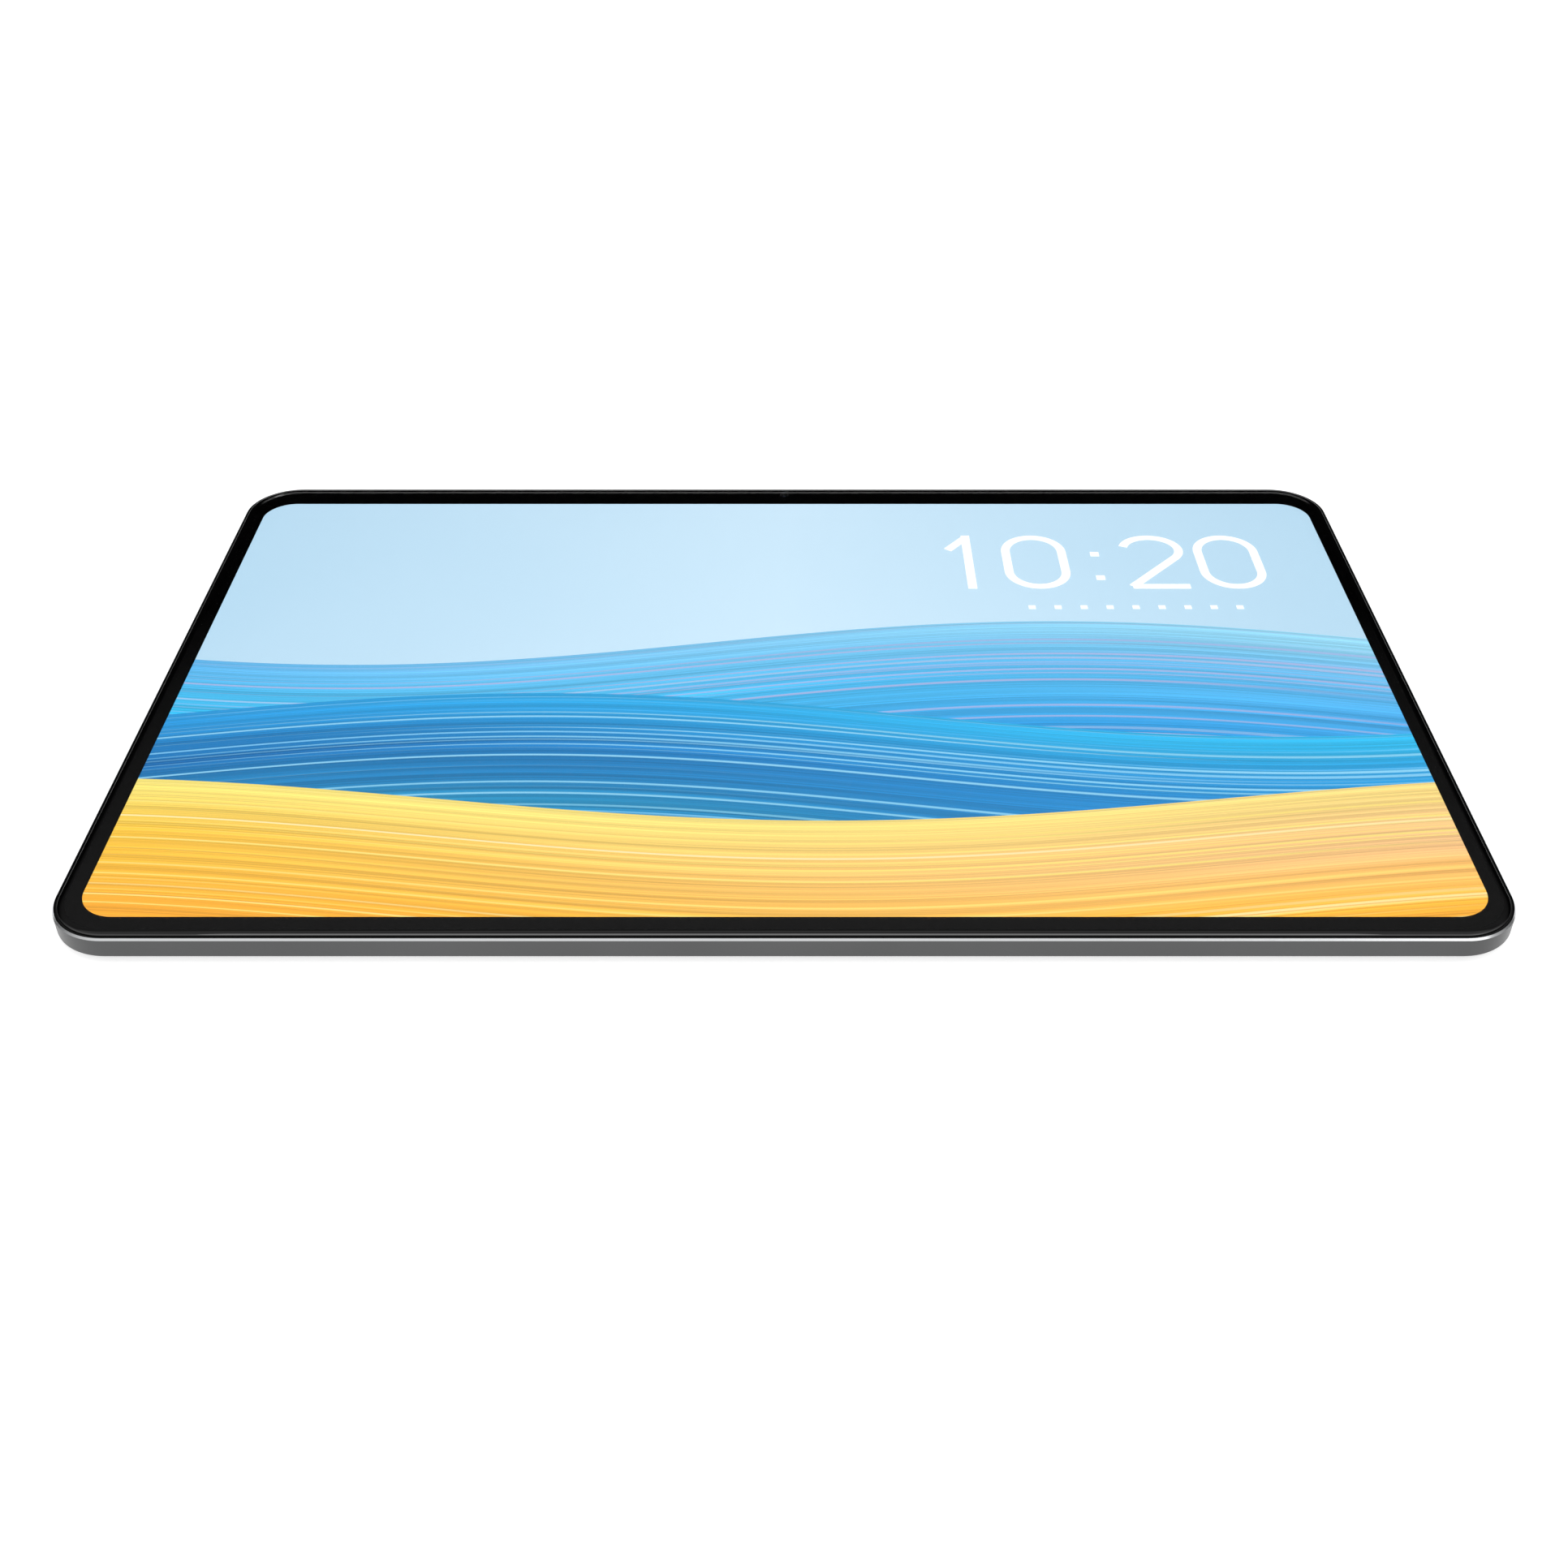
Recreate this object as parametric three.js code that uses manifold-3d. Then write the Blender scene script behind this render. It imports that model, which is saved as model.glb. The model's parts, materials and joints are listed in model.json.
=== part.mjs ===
// Tablet computer of the 12 inch class, lying on its back with the screen up.
// Millimetres. +X runs along the long side, +Y towards the edge with the front camera, +Z out of
// the screen. The origin is the centre of the flat back.

import * as THREE from 'three';
import { mergeVertices } from 'three/addons/utils/BufferGeometryUtils.js';
import Module from 'manifold-3d';

// ---------------------------------------------------------------- driving dimensions

const BODY = { width: 271, depth: 171, height: 6.4, cornerRadius: 12 };
const HALF_X = BODY.width / 2;
const HALF_Y = BODY.depth / 2;
const CORNER_STEPS = 10;
const ROUND_STEPS = 20;

const RIM_Z = 6.0;
const RIM_CHAMFER = 0.35;
const WALL_FOOT_Z = 2.15;
const WALL_FOOT_RADIUS = 0.5;
const WALL_FOOT_ANGLE = Math.PI / 3;
const BACK_INSET = 6.6;
const LIP_INSET = 0.45;
const LEDGE_Z = 4.7;
const WALL_THICKNESS = 1.2;
const WALL_INNER_FOOT_Z = 2.5;
const FLOOR_Z = 0.7;
const FLOOR_INSET = 8.3;
const FLOOR_CURVE_INSET = 4.2;

const DISPLAY = { width: 261.4, height: 156.8, centreY: -1.3 };
const SIDE_FEATURE_Z = 3.65;
const GAP = 0.05;

// ---------------------------------------------------------------- solids by code

const wasm = await Module();
wasm.setup();

function toManifold(geometry) {
  const bare = geometry.index ? geometry.toNonIndexed() : geometry.clone();
  bare.deleteAttribute('normal');
  bare.deleteAttribute('uv');
  const merged = mergeVertices(bare, 1e-4);
  return new wasm.Manifold(new wasm.Mesh({
    numProp: 3,
    vertProperties: merged.attributes.position.array,
    triVerts: new Uint32Array(merged.index.array),
  }));
}

function toGeometry(manifold) {
  const mesh = manifold.getMesh();
  const geometry = new THREE.BufferGeometry();
  geometry.setAttribute('position', new THREE.BufferAttribute(mesh.vertProperties, 3));
  geometry.setIndex(new THREE.BufferAttribute(mesh.triVerts, 1));
  geometry.computeVertexNormals();
  return geometry;
}

function cut(geometry, tools) {
  const start = toManifold(geometry);
  return toGeometry(tools.reduce((left, tool) => left.subtract(toManifold(tool)), start));
}

function join(geometries) {
  const [first, ...others] = geometries.map(toManifold);
  return toGeometry(others.reduce((sum, next) => sum.add(next), first));
}

// ---------------------------------------------------------------- outlines and prisms

// The points of a rectangle with round corners, anticlockwise.
function roundedPoints(halfX, halfY, radius, steps, cx = 0, cy = 0) {
  const corners = [[1, 1], [-1, 1], [-1, -1], [1, -1]];
  const points = corners.flatMap(([sx, sy], quarter) => (
    Array.from({ length: steps + 1 }, (_, i) => {
      const angle = (quarter + i / steps) * (Math.PI / 2);
      return new THREE.Vector2(
        cx + sx * (halfX - radius) + radius * Math.cos(angle),
        cy + sy * (halfY - radius) + radius * Math.sin(angle),
      );
    })
  ));
  return points.filter((p, i) => p.distanceTo(points[(i + 1) % points.length]) > 1e-6);
}

// The body's own outline, moved inwards by inset.
function bodyPoints(inset) {
  return roundedPoints(HALF_X - inset, HALF_Y - inset, BODY.cornerRadius - inset, CORNER_STEPS);
}

function roundedShape(width, height, radius, cx = 0, cy = 0, steps = 6) {
  return new THREE.Shape(roundedPoints(width / 2, height / 2, radius, steps, cx, cy));
}

function slotShape(length, height, cx = 0, cy = 0) {
  return roundedShape(length, height, height / 2, cx, cy, 6);
}

function circleShape(radius, cx = 0, cy = 0, steps = ROUND_STEPS) {
  return new THREE.Shape(roundedPoints(radius, radius, radius, steps / 4, cx, cy));
}

function polygonShape(pairs) {
  return new THREE.Shape(pairs.map(([x, y]) => new THREE.Vector2(x, y)));
}

function rectShape([x0, x1], [y0, y1]) {
  return polygonShape([[x0, y0], [x1, y0], [x1, y1], [x0, y1]]);
}

function prismZ(shape, [z0, z1], holes = []) {
  shape.holes.push(...holes);
  const geometry = new THREE.ExtrudeGeometry(shape, { depth: z1 - z0, bevelEnabled: false });
  return geometry.translate(0, 0, z0);
}

// A prism whose section is drawn in Y and Z.
function prismX(shape, [x0, x1]) {
  const geometry = new THREE.ExtrudeGeometry(shape, { depth: x1 - x0, bevelEnabled: false });
  const turn = new THREE.Matrix4().makeBasis(
    new THREE.Vector3(0, 1, 0),
    new THREE.Vector3(0, 0, 1),
    new THREE.Vector3(1, 0, 0),
  );
  return geometry.applyMatrix4(turn).translate(x0, 0, 0);
}

// A prism whose section is drawn in X and Z.
function prismY(shape, [y0, y1]) {
  const geometry = new THREE.ExtrudeGeometry(shape, { depth: y1 - y0, bevelEnabled: false });
  const turn = new THREE.Matrix4().makeBasis(
    new THREE.Vector3(1, 0, 0),
    new THREE.Vector3(0, 0, 1),
    new THREE.Vector3(0, -1, 0),
  );
  return geometry.applyMatrix4(turn).translate(0, y1, 0);
}

function block({ x, y, z }) {
  return prismZ(rectShape(x, y), z);
}

// A box with round vertical edges.
function softBlock({ x, y, z }, radius) {
  const [cx, cy] = [(x[0] + x[1]) / 2, (y[0] + y[1]) / 2];
  return prismZ(roundedShape(x[1] - x[0], y[1] - y[0], radius, cx, cy, 5), z);
}

function centred(centre, size) {
  return [centre - size / 2, centre + size / 2];
}

// A section in along-the-wall and Z, run from one depth below the outer face to another.
function throughWall(side, shape, [from, to]) {
  if (side === 'top') return prismY(shape, [HALF_Y - to, HALF_Y - from]);
  if (side === 'right') return prismX(shape, [HALF_X - to, HALF_X - from]);
  return prismX(shape, [from - HALF_X, to - HALF_X]);
}

// ---------------------------------------------------------------- lofts round the body

// Loops of equal length joined in order. An open loft is capped at both ends.
function loft(loops, closed = false) {
  const count = loops[0].length;
  const positions = loops.flat().flatMap(p => [p.x, p.y, p.z]);
  const indices = [];
  const bands = closed ? loops.length : loops.length - 1;
  for (let level = 0; level < bands; level += 1) {
    const low = level * count;
    const high = ((level + 1) % loops.length) * count;
    for (let i = 0; i < count; i += 1) {
      const j = (i + 1) % count;
      indices.push(low + i, low + j, high + j, low + i, high + j, high + i);
    }
  }
  if (!closed) {
    const last = (loops.length - 1) * count;
    for (const [a, b, c] of THREE.ShapeUtils.triangulateShape(loops[0], [])) {
      indices.push(a, c, b);
      indices.push(last + a, last + b, last + c);
    }
  }
  const geometry = new THREE.BufferGeometry();
  geometry.setAttribute('position', new THREE.Float32BufferAttribute(positions, 3));
  geometry.setIndex(indices);
  geometry.computeVertexNormals();
  return geometry;
}

// A profile is a list of (inset from the body's outline, height) points.
function loftProfile(profile, closed = false) {
  const loops = profile.map(({ x: inset, y: z }) => (
    bodyPoints(inset).map(p => new THREE.Vector3(p.x, p.y, z))
  ));
  return loft(loops, closed);
}

// The points of a path, with each of its curves in the same number of steps.
function profileOf(path, steps) {
  const points = path.curves.flatMap(curve => curve.getPoints(curve.isLineCurve ? 1 : steps));
  return points.filter((p, i) => i === 0 || p.distanceTo(points[i - 1]) > 1e-6);
}

// ---------------------------------------------------------------- openings of the housing

const USB = { z: 2.65, length: 8.94, height: 3.16, wall: 0.3, clearance: 0.1, depth: [1.75, 9.1] };
const SPEAKER = {
  centreY: 38, slots: 7, pitch: 4.2, slot: [3.0, 1.2],
  halfLength: 15, meshDepth: [1.3, 1.45],
};
const POWER = { y: 62, length: 12, height: 1.6 };
const VOLUME = { x: -96, length: 24, height: 1.6 };
const KEY_CLEARANCE = 0.15;
const TRAY = { x: 85, length: 19, height: 1.6, frameX: 83.5, pinX: 92.9 };
const MICROPHONE = { x: [-30, 30], holeRadius: 0.5 };
const REAR_CAMERA = { x: 112, y: 64, holeRadius: 6.2, ringRadius: 6.1, windowRadius: 5.0 };
const FLASH = { x: 97, y: 66.5, holeRadius: 2.2, radius: 2.1 };
const ANTENNA_WINDOW = { y: 73.5, length: 80, height: 5, clearance: 0.1 };
const SCREWS = [[-91, 47], [-91, 63], [66, 47], [66, 63]];
const BOSS = { radius: 2.2, boreRadius: 0.85, topZ: 1.55, boreFloorZ: 0.95 };
const CUT_THROUGH = [-2, 12];
const WALL_CUT = [-2, 1.9];

function housingProfile() {
  const startX = WALL_FOOT_RADIUS * (1 - Math.cos(WALL_FOOT_ANGLE));
  const startZ = WALL_FOOT_Z - WALL_FOOT_RADIUS * Math.sin(WALL_FOOT_ANGLE);
  const curveX = startX + startZ * Math.tan(WALL_FOOT_ANGLE);
  const path = new THREE.Path();
  path.moveTo(BACK_INSET, 0);
  path.quadraticCurveTo(curveX, 0, startX, startZ);
  path.absarc(
    WALL_FOOT_RADIUS, WALL_FOOT_Z, WALL_FOOT_RADIUS,
    Math.PI + WALL_FOOT_ANGLE, Math.PI, true,
  );
  path.lineTo(0, RIM_Z - RIM_CHAMFER);
  path.lineTo(RIM_CHAMFER, RIM_Z);
  path.lineTo(LIP_INSET, RIM_Z);
  path.lineTo(LIP_INSET, LEDGE_Z);
  path.lineTo(WALL_THICKNESS, LEDGE_Z);
  path.lineTo(WALL_THICKNESS, WALL_INNER_FOOT_Z);
  path.quadraticCurveTo(FLOOR_CURVE_INSET, FLOOR_Z, FLOOR_INSET, FLOOR_Z);
  return profileOf(path, 5);
}

function usbOpening() {
  const size = [USB.length + 2 * USB.clearance, USB.height + 2 * USB.clearance];
  return throughWall('right', slotShape(...size, 0, USB.z), CUT_THROUGH);
}

function speakerOpenings() {
  const indices = Array.from({ length: SPEAKER.slots }, (_, i) => i - (SPEAKER.slots - 1) / 2);
  return ['left', 'right'].flatMap(side => [-1, 1].flatMap(half => indices.map((i) => {
    const y = half * SPEAKER.centreY + i * SPEAKER.pitch;
    return throughWall(side, slotShape(...SPEAKER.slot, y, SIDE_FEATURE_Z), WALL_CUT);
  })));
}

function keyOpening(side, along, { length, height }, clearance) {
  const shape = slotShape(length + 2 * clearance, height + 2 * clearance, along, SIDE_FEATURE_Z);
  return throughWall(side, shape, WALL_CUT);
}

function backOpenings() {
  const through = [-1, FLOOR_Z + 1];
  const { y, length, height } = ANTENNA_WINDOW;
  return [
    prismZ(circleShape(REAR_CAMERA.holeRadius, REAR_CAMERA.x, REAR_CAMERA.y, 48), through),
    prismZ(circleShape(FLASH.holeRadius, FLASH.x, FLASH.y), through),
    prismZ(slotShape(length, height, 0, y), through),
  ];
}

function makeHousing() {
  const openings = [
    usbOpening(),
    ...speakerOpenings(),
    ...backOpenings(),
    keyOpening('left', POWER.y, POWER, KEY_CLEARANCE),
    keyOpening('top', VOLUME.x, VOLUME, KEY_CLEARANCE),
    keyOpening('top', TRAY.x, TRAY, KEY_CLEARANCE),
    ...MICROPHONE.x.map(x => (
      throughWall('top', circleShape(MICROPHONE.holeRadius, x, SIDE_FEATURE_Z, 12), WALL_CUT)
    )),
  ];
  const bosses = SCREWS.map(([x, y]) => (
    prismZ(circleShape(BOSS.radius, x, y), [FLOOR_Z - 0.2, BOSS.topZ])
  ));
  const bores = SCREWS.map(([x, y]) => (
    prismZ(circleShape(BOSS.boreRadius, x, y, 12), [BOSS.boreFloorZ, BOSS.topZ + 1])
  ));
  const shell = loftProfile(housingProfile());
  return cut(join([shell, ...bosses]), [...openings, ...bores]);
}

// ---------------------------------------------------------------- display stack

const GLASS = { inset: 0.95, z: [5.8, BODY.height], edgeZ: 6.05, edgeWidth: 1.4, foot: 0.1 };
const FRAME = { lip: [0.5, 0.9], lipZ: 5.85, ledgeInset: 3.0, z: [4.75, 5.65] };
const ADHESIVE = { inset: [1.1, 2.9], z: [5.68, 5.77] };
const LCD = { side: 0.9, nearLedge: 2.4, farLedge: 0.9, z: [5.3, 5.72], cornerRadius: 8 };
const BACKLIGHT = { side: 0.9, z: [4.5, 5.25], cornerRadius: 8 };
const PLATE = { x: [-131.6, 131.6], y: [-80.9, 79.4], z: [4.3, 4.45], radius: 6 };
const DRIVER_BOARD = { x: [-60, 60], y: [-78.6, -70.5], z: [3.55, 4.2] };
const DISPLAY_FLEX = { x: [-20, 20], outerY: -81.75, thickness: 0.15, z: [3.95, 5.2], bend: 0.5 };
const FRONT_CAMERA = { x: -0.4, inset: 3.4, body: 4.0, barrelRadius: 1.4, z: [2.6, 4.65, 5.6] };

const NEAR_Y = DISPLAY.centreY - DISPLAY.height / 2;
const FAR_Y = DISPLAY.centreY + DISPLAY.height / 2;

function makeGlass() {
  const { inset, edgeZ, edgeWidth, foot, z } = GLASS;
  const path = new THREE.Path();
  path.moveTo(inset + foot, z[0]);
  path.lineTo(inset, z[0] + foot);
  path.lineTo(inset, edgeZ);
  path.absellipse(inset + edgeWidth, edgeZ, edgeWidth, z[1] - edgeZ, Math.PI, Math.PI / 2, true, 0);
  return loftProfile(profileOf(path, 4));
}

function makeBezelFrame() {
  const { lip, lipZ, ledgeInset, z } = FRAME;
  const profile = [
    [lip[0], z[0]], [lip[0], lipZ], [lip[1], lipZ],
    [lip[1], z[1]], [ledgeInset, z[1]], [ledgeInset, z[0]],
  ].map(([inset, height]) => new THREE.Vector2(inset, height));
  const { x, inset, barrelRadius } = FRONT_CAMERA;
  const notch = block({
    x: centred(x, 2 * barrelRadius + 0.6),
    y: [HALF_Y - ledgeInset - 1, HALF_Y - inset + barrelRadius + 0.2],
    z: [z[0] - 1, z[1] + 1],
  });
  return cut(loftProfile(profile, true), [notch]);
}

function makeAdhesive() {
  const [outer, inner] = ADHESIVE.inset;
  const [low, high] = ADHESIVE.z;
  const profile = [[outer, low], [outer, high], [inner, high], [inner, low]];
  const ring = loftProfile(profile.map(([d, z]) => new THREE.Vector2(d, z)), true);
  const { x, inset, barrelRadius } = FRONT_CAMERA;
  const notch = block({
    x: centred(x, 2 * barrelRadius + 0.6),
    y: [HALF_Y - inner - 1, HALF_Y - inset + barrelRadius + 0.1],
    z: [low - 1, high + 1],
  });
  return cut(ring, [notch]);
}

function makeLcdPanel() {
  const halfX = DISPLAY.width / 2 + LCD.side;
  return softBlock({
    x: [-halfX, halfX], y: [NEAR_Y - LCD.nearLedge, FAR_Y + LCD.farLedge], z: LCD.z,
  }, LCD.cornerRadius);
}

function makeBacklight() {
  const halfX = DISPLAY.width / 2 + BACKLIGHT.side;
  return softBlock({
    x: [-halfX, halfX], y: [NEAR_Y - BACKLIGHT.side, FAR_Y + BACKLIGHT.side], z: BACKLIGHT.z,
  }, BACKLIGHT.cornerRadius);
}

// A strip that leaves the cell's near ledge, passes the plate's edge and turns in to the board.
function makeDisplayFlex() {
  const { outerY, thickness, z, bend } = DISPLAY_FLEX;
  const tip = DRIVER_BOARD.y[0] - GAP;
  const section = new THREE.Shape();
  section.moveTo(outerY, z[1]);
  section.lineTo(outerY, z[0] + bend);
  section.absarc(outerY + bend, z[0] + bend, bend, Math.PI, 1.5 * Math.PI, false);
  section.lineTo(tip, z[0]);
  section.lineTo(tip, z[0] + thickness);
  section.lineTo(outerY + bend, z[0] + thickness);
  section.absarc(outerY + bend, z[0] + bend, bend - thickness, 1.5 * Math.PI, Math.PI, true);
  section.lineTo(outerY + thickness, z[1]);
  return prismX(section, DISPLAY_FLEX.x);
}

function makeFrontCamera() {
  const { x, inset, body, barrelRadius, z: [base, shoulder, top] } = FRONT_CAMERA;
  const y = HALF_Y - inset;
  return join([
    block({ x: centred(x, body), y: centred(y, body), z: [base, shoulder] }),
    prismZ(circleShape(barrelRadius, x, y), [shoulder - 0.2, top]),
  ]);
}

// ---------------------------------------------------------------- boards and battery

const MAIN_BOARD = {
  left: -96, right: 100, near: 42, far: 68, bayX: 71, bayFar: 80.5, z: [1.6, 2.2],
};
const BOARD_HOLE_RADIUS = 0.9;
const CAN_WALL = 0.2;
const CANS = {
  power_shield: { x: [-82, -38], y: [48.5, 66.5], z: [2.25, 3.9] },
  processor_shield: { x: [-34, 8], y: [48.5, 66.5], z: [2.25, 3.9] },
  radio_shield: { x: [13, 60], y: [48.5, 66.5], z: [2.25, 3.9] },
};
const CELLS = { left: [-98, -1.5], right: [1.5, 98] };
const CELL_Y = [-64, 36];
const CELL_Z = [0.95, 3.9];
const CELL_TAPE_Z = [0.75, 0.9];
const TAPE_MARGIN = 5;
const PROTECTION_BOARD = { x: [-32, 32], y: [36.8, 40.8], z: [1.6, 2.4] };
const BATTERY_CONNECTOR = { x: [-7, 7], y: [42.6, 47.4], z: [2.25, 3.2] };
const USB_BOARD = { x: [117.5, 131.0], y: [-14, 14], z: [2.0, 2.6], notchClearance: 0.35 };
const USB_TONGUE = { block: [8.2, 2.4], blade: [6.7, 0.7] };
const FLEX = { z: [2.75, 2.9], x: [99.4, 103.0], farY: 46.5, nearY: 6.2, tipX: 121, tipY: 11 };
const SCREW = { headRadius: 1.5, shankRadius: 0.7, z: [1.0, 2.25, 2.8] };

function makeMainBoard() {
  const { left, right, near, far, bayX, bayFar } = MAIN_BOARD;
  const outlineShape = polygonShape([
    [left, near], [right, near], [right, bayFar], [bayX, bayFar], [bayX, far], [left, far],
  ]);
  const holes = SCREWS.map(([x, y]) => circleShape(BOARD_HOLE_RADIUS, x, y, 12));
  return prismZ(outlineShape, MAIN_BOARD.z, holes);
}

// A sheet metal can, open towards the board.
function makeCan({ x, y, z }) {
  const inside = block({
    x: [x[0] + CAN_WALL, x[1] - CAN_WALL],
    y: [y[0] + CAN_WALL, y[1] - CAN_WALL],
    z: [z[0] - 1, z[1] - CAN_WALL],
  });
  return cut(softBlock({ x, y, z }, 1), [inside]);
}

function makeScrew([x, y]) {
  const { headRadius, shankRadius, z: [tip, seat, top] } = SCREW;
  const profile = [
    [0, tip], [shankRadius, tip], [shankRadius, seat], [headRadius, seat],
    [headRadius, top - 0.2], [headRadius - 0.2, top], [0, top],
  ].map(([r, z]) => new THREE.Vector2(r, z));
  const turned = new THREE.LatheGeometry(profile, 12).rotateX(Math.PI / 2);
  return turned.translate(x, y, 0);
}

function makeUsbBoard() {
  const { x, y, z, notchClearance } = USB_BOARD;
  const notch = block({
    x: [HALF_X - USB.depth[1] - notchClearance, x[1] + 1],
    y: centred(0, USB.length + 2 * notchClearance),
    z: [z[0] - 1, z[1] + 1],
  });
  return cut(block({ x, y, z }), [notch]);
}

function makeUsbShell() {
  const outer = slotShape(USB.length, USB.height, 0, USB.z);
  outer.holes.push(slotShape(USB.length - 2 * USB.wall, USB.height - 2 * USB.wall, 0, USB.z));
  return throughWall('right', outer, USB.depth);
}

function makeUsbTongue() {
  const back = USB.depth[1];
  const { block, blade } = USB_TONGUE;
  return join([
    throughWall('right', slotShape(...block, 0, USB.z), [back - 1.8, back - 0.3]),
    throughWall('right', roundedShape(...blade, 0.2, 0, USB.z), [USB.depth[0] + 0.7, back - 1.6]),
  ]);
}

function makeInterconnect() {
  const { x, farY, nearY, tipX, tipY, z } = FLEX;
  return prismZ(polygonShape([
    [x[0], farY], [x[0], nearY], [tipX, nearY], [tipX, tipY], [x[1], tipY], [x[1], farY],
  ]), z);
}

// ---------------------------------------------------------------- sound and radio

const SPEAKER_BOX = {
  inner: 104, floor: 126.6, shoulder: 131.0, mouth: 133.8, z: [0.8, 2.1, 2.75, 4.2],
};
const SPEAKER_MESH_HEIGHT = 1.9;
const MICROPHONE_BODY = { depth: [1.35, 2.5], length: 3.8, height: 1.7 };
const ANTENNAS = { antenna_left: [-38, -3], antenna_right: [3, 38] };
const ANTENNA = { y: [70.6, 76.4], z: [0.8, 1.1] };
const ANTENNA_PLUG_Z = [0, 0.65];

function makeSpeakerBox(sideSign, half) {
  const { inner, floor, shoulder, mouth, z: [base, knee, lip, top] } = SPEAKER_BOX;
  const section = polygonShape([
    [inner, base], [floor, base], [shoulder, knee], [shoulder, lip],
    [mouth, lip], [mouth, top], [inner, top],
  ].map(([x, z]) => [sideSign * x, z]));
  const y = half * SPEAKER.centreY;
  return prismY(section, [y - SPEAKER.halfLength, y + SPEAKER.halfLength]);
}

function makeSpeakerMesh(side, half) {
  const y = half * SPEAKER.centreY;
  const shape = slotShape(2 * SPEAKER.halfLength, SPEAKER_MESH_HEIGHT, y, SIDE_FEATURE_Z);
  return throughWall(side, shape, SPEAKER.meshDepth);
}

function makeMicrophone(x) {
  const { depth, length, height } = MICROPHONE_BODY;
  return throughWall('top', roundedShape(length, height, 0.3, x, SIDE_FEATURE_Z - 0.1, 2), depth);
}

function makeAntennaWindow() {
  const { y, length, height, clearance } = ANTENNA_WINDOW;
  return prismZ(slotShape(length - 2 * clearance, height - 2 * clearance, 0, y), ANTENNA_PLUG_Z);
}

// ---------------------------------------------------------------- side keys

const KEY = {
  proud: 0.3, capDepth: 1.6, flangeDepth: [1.55, 1.95], flangeGrip: 1.0, flangeRise: 0.3, edge: 0.25,
};
const KEY_NUB = { radius: 0.7, depth: [1.9, 2.2] };
const KEY_SWITCH = {
  length: 3.6, height: 1.6, z: 3.55, depth: [2.75, 3.2], domeRadius: 0.75, domeDepth: 2.6,
};
const KEY_BRACKET = { depth: [3.25, 3.5], z: [2.1, 4.2], margin: 3 };
const VOLUME_SWITCH_OFFSET = 7.5;

// The cap stands a little proud of the wall and a flange behind the wall keeps it in.
function makeKey(side, along, { length, height }, nubs) {
  const { proud, capDepth, flangeDepth, flangeGrip, flangeRise, edge } = KEY;
  const crown = slotShape(length - 2 * edge, height - 2 * edge, along, SIDE_FEATURE_Z);
  const cap = slotShape(length, height, along, SIDE_FEATURE_Z);
  const [flangeLength, flangeHeight] = [length + 2 * flangeGrip, height + flangeRise];
  const flange = roundedShape(flangeLength, flangeHeight, 0.3, along, SIDE_FEATURE_Z, 2);
  return join([
    throughWall(side, crown, [-proud, 0]),
    throughWall(side, cap, [edge - proud, capDepth]),
    throughWall(side, flange, flangeDepth),
    ...nubs.map((offset) => {
      const nub = circleShape(KEY_NUB.radius, along + offset, SIDE_FEATURE_Z, 12);
      return throughWall(side, nub, KEY_NUB.depth);
    }),
  ]);
}

function makeSwitch(side, along) {
  const { length, height, z, depth, domeRadius, domeDepth } = KEY_SWITCH;
  const body = roundedShape(length, height, 0.2, along, z, 2);
  const dome = circleShape(domeRadius, along, z, 12);
  return join([
    throughWall(side, body, depth),
    throughWall(side, dome, [domeDepth, depth[0] + 0.1]),
  ]);
}

function makeBracket(side, along, length) {
  const { depth, z, margin } = KEY_BRACKET;
  const height = z[1] - z[0];
  const shape = roundedShape(length + 2 * margin, height, 0.4, along, z[0] + height / 2, 2);
  return throughWall(side, shape, depth);
}

// ---------------------------------------------------------------- card slot

const TRAY_FRAME = { width: 13.6, z: [3.25, 3.95], backY: 61.4, headDepth: [0, 1.1] };
const TRAY_POCKETS = [
  { x: centred(TRAY.frameX, 9.2), y: [69.6, 82.2] },
  { x: centred(TRAY.frameX, 11.4), y: [62.8, 68.4] },
];
const POCKET_LEDGE = 0.4;
const POCKET_FLOOR_Z = 3.45;
const PIN_HOLE_RADIUS = 0.6;
const READER = {
  x: [75.4, 95.0], y: [56.3, 82.6], baseZ: [2.25, 3.05], coverZ: [3.1, 4.22], sheet: 0.15,
};
const ROD = { width: 0.8, z: [3.3, 3.95], y: [59.35, 83.6] };
const LEVER = {
  pivot: [88.5, 58.6], halfLength: 5.2, width: 1.2, z: [3.35, 3.85], hubRadius: 1.15, holeRadius: 0.6,
};
const PUSHER = {
  nubX: [84.0, 84.6], nubY: [59.4, 60.5], plateX: [78, 88], plateY: [60.3, 61.2], z: [3.3, 3.9],
};
const PIVOT = { shankRadius: 0.5, headRadius: 0.9, z: [3.08, 3.3, 4.0] };

function makeTray() {
  const { width, z, backY, headDepth } = TRAY_FRAME;
  const face = slotShape(TRAY.length, TRAY.height, TRAY.x, SIDE_FEATURE_Z);
  const head = throughWall('top', face, headDepth);
  const frame = softBlock({ x: centred(TRAY.frameX, width), y: [backY, HALF_Y - 0.6], z }, 0.8);
  const through = TRAY_POCKETS.map(({ x, y }) => softBlock({
    x: [x[0] + POCKET_LEDGE, x[1] - POCKET_LEDGE],
    y: [y[0] + POCKET_LEDGE, y[1] - POCKET_LEDGE],
    z: [z[0] - 1, z[1] + 1],
  }, 0.6));
  const recesses = TRAY_POCKETS.map(({ x, y }) => (
    softBlock({ x, y, z: [POCKET_FLOOR_Z, z[1] + 1] }, 0.8)
  ));
  const pinCircle = circleShape(PIN_HOLE_RADIUS, TRAY.pinX, SIDE_FEATURE_Z, 16);
  const pinHole = throughWall('top', pinCircle, [-1, 2]);
  return cut(join([frame, head]), [...through, ...recesses, pinHole]);
}

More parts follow.
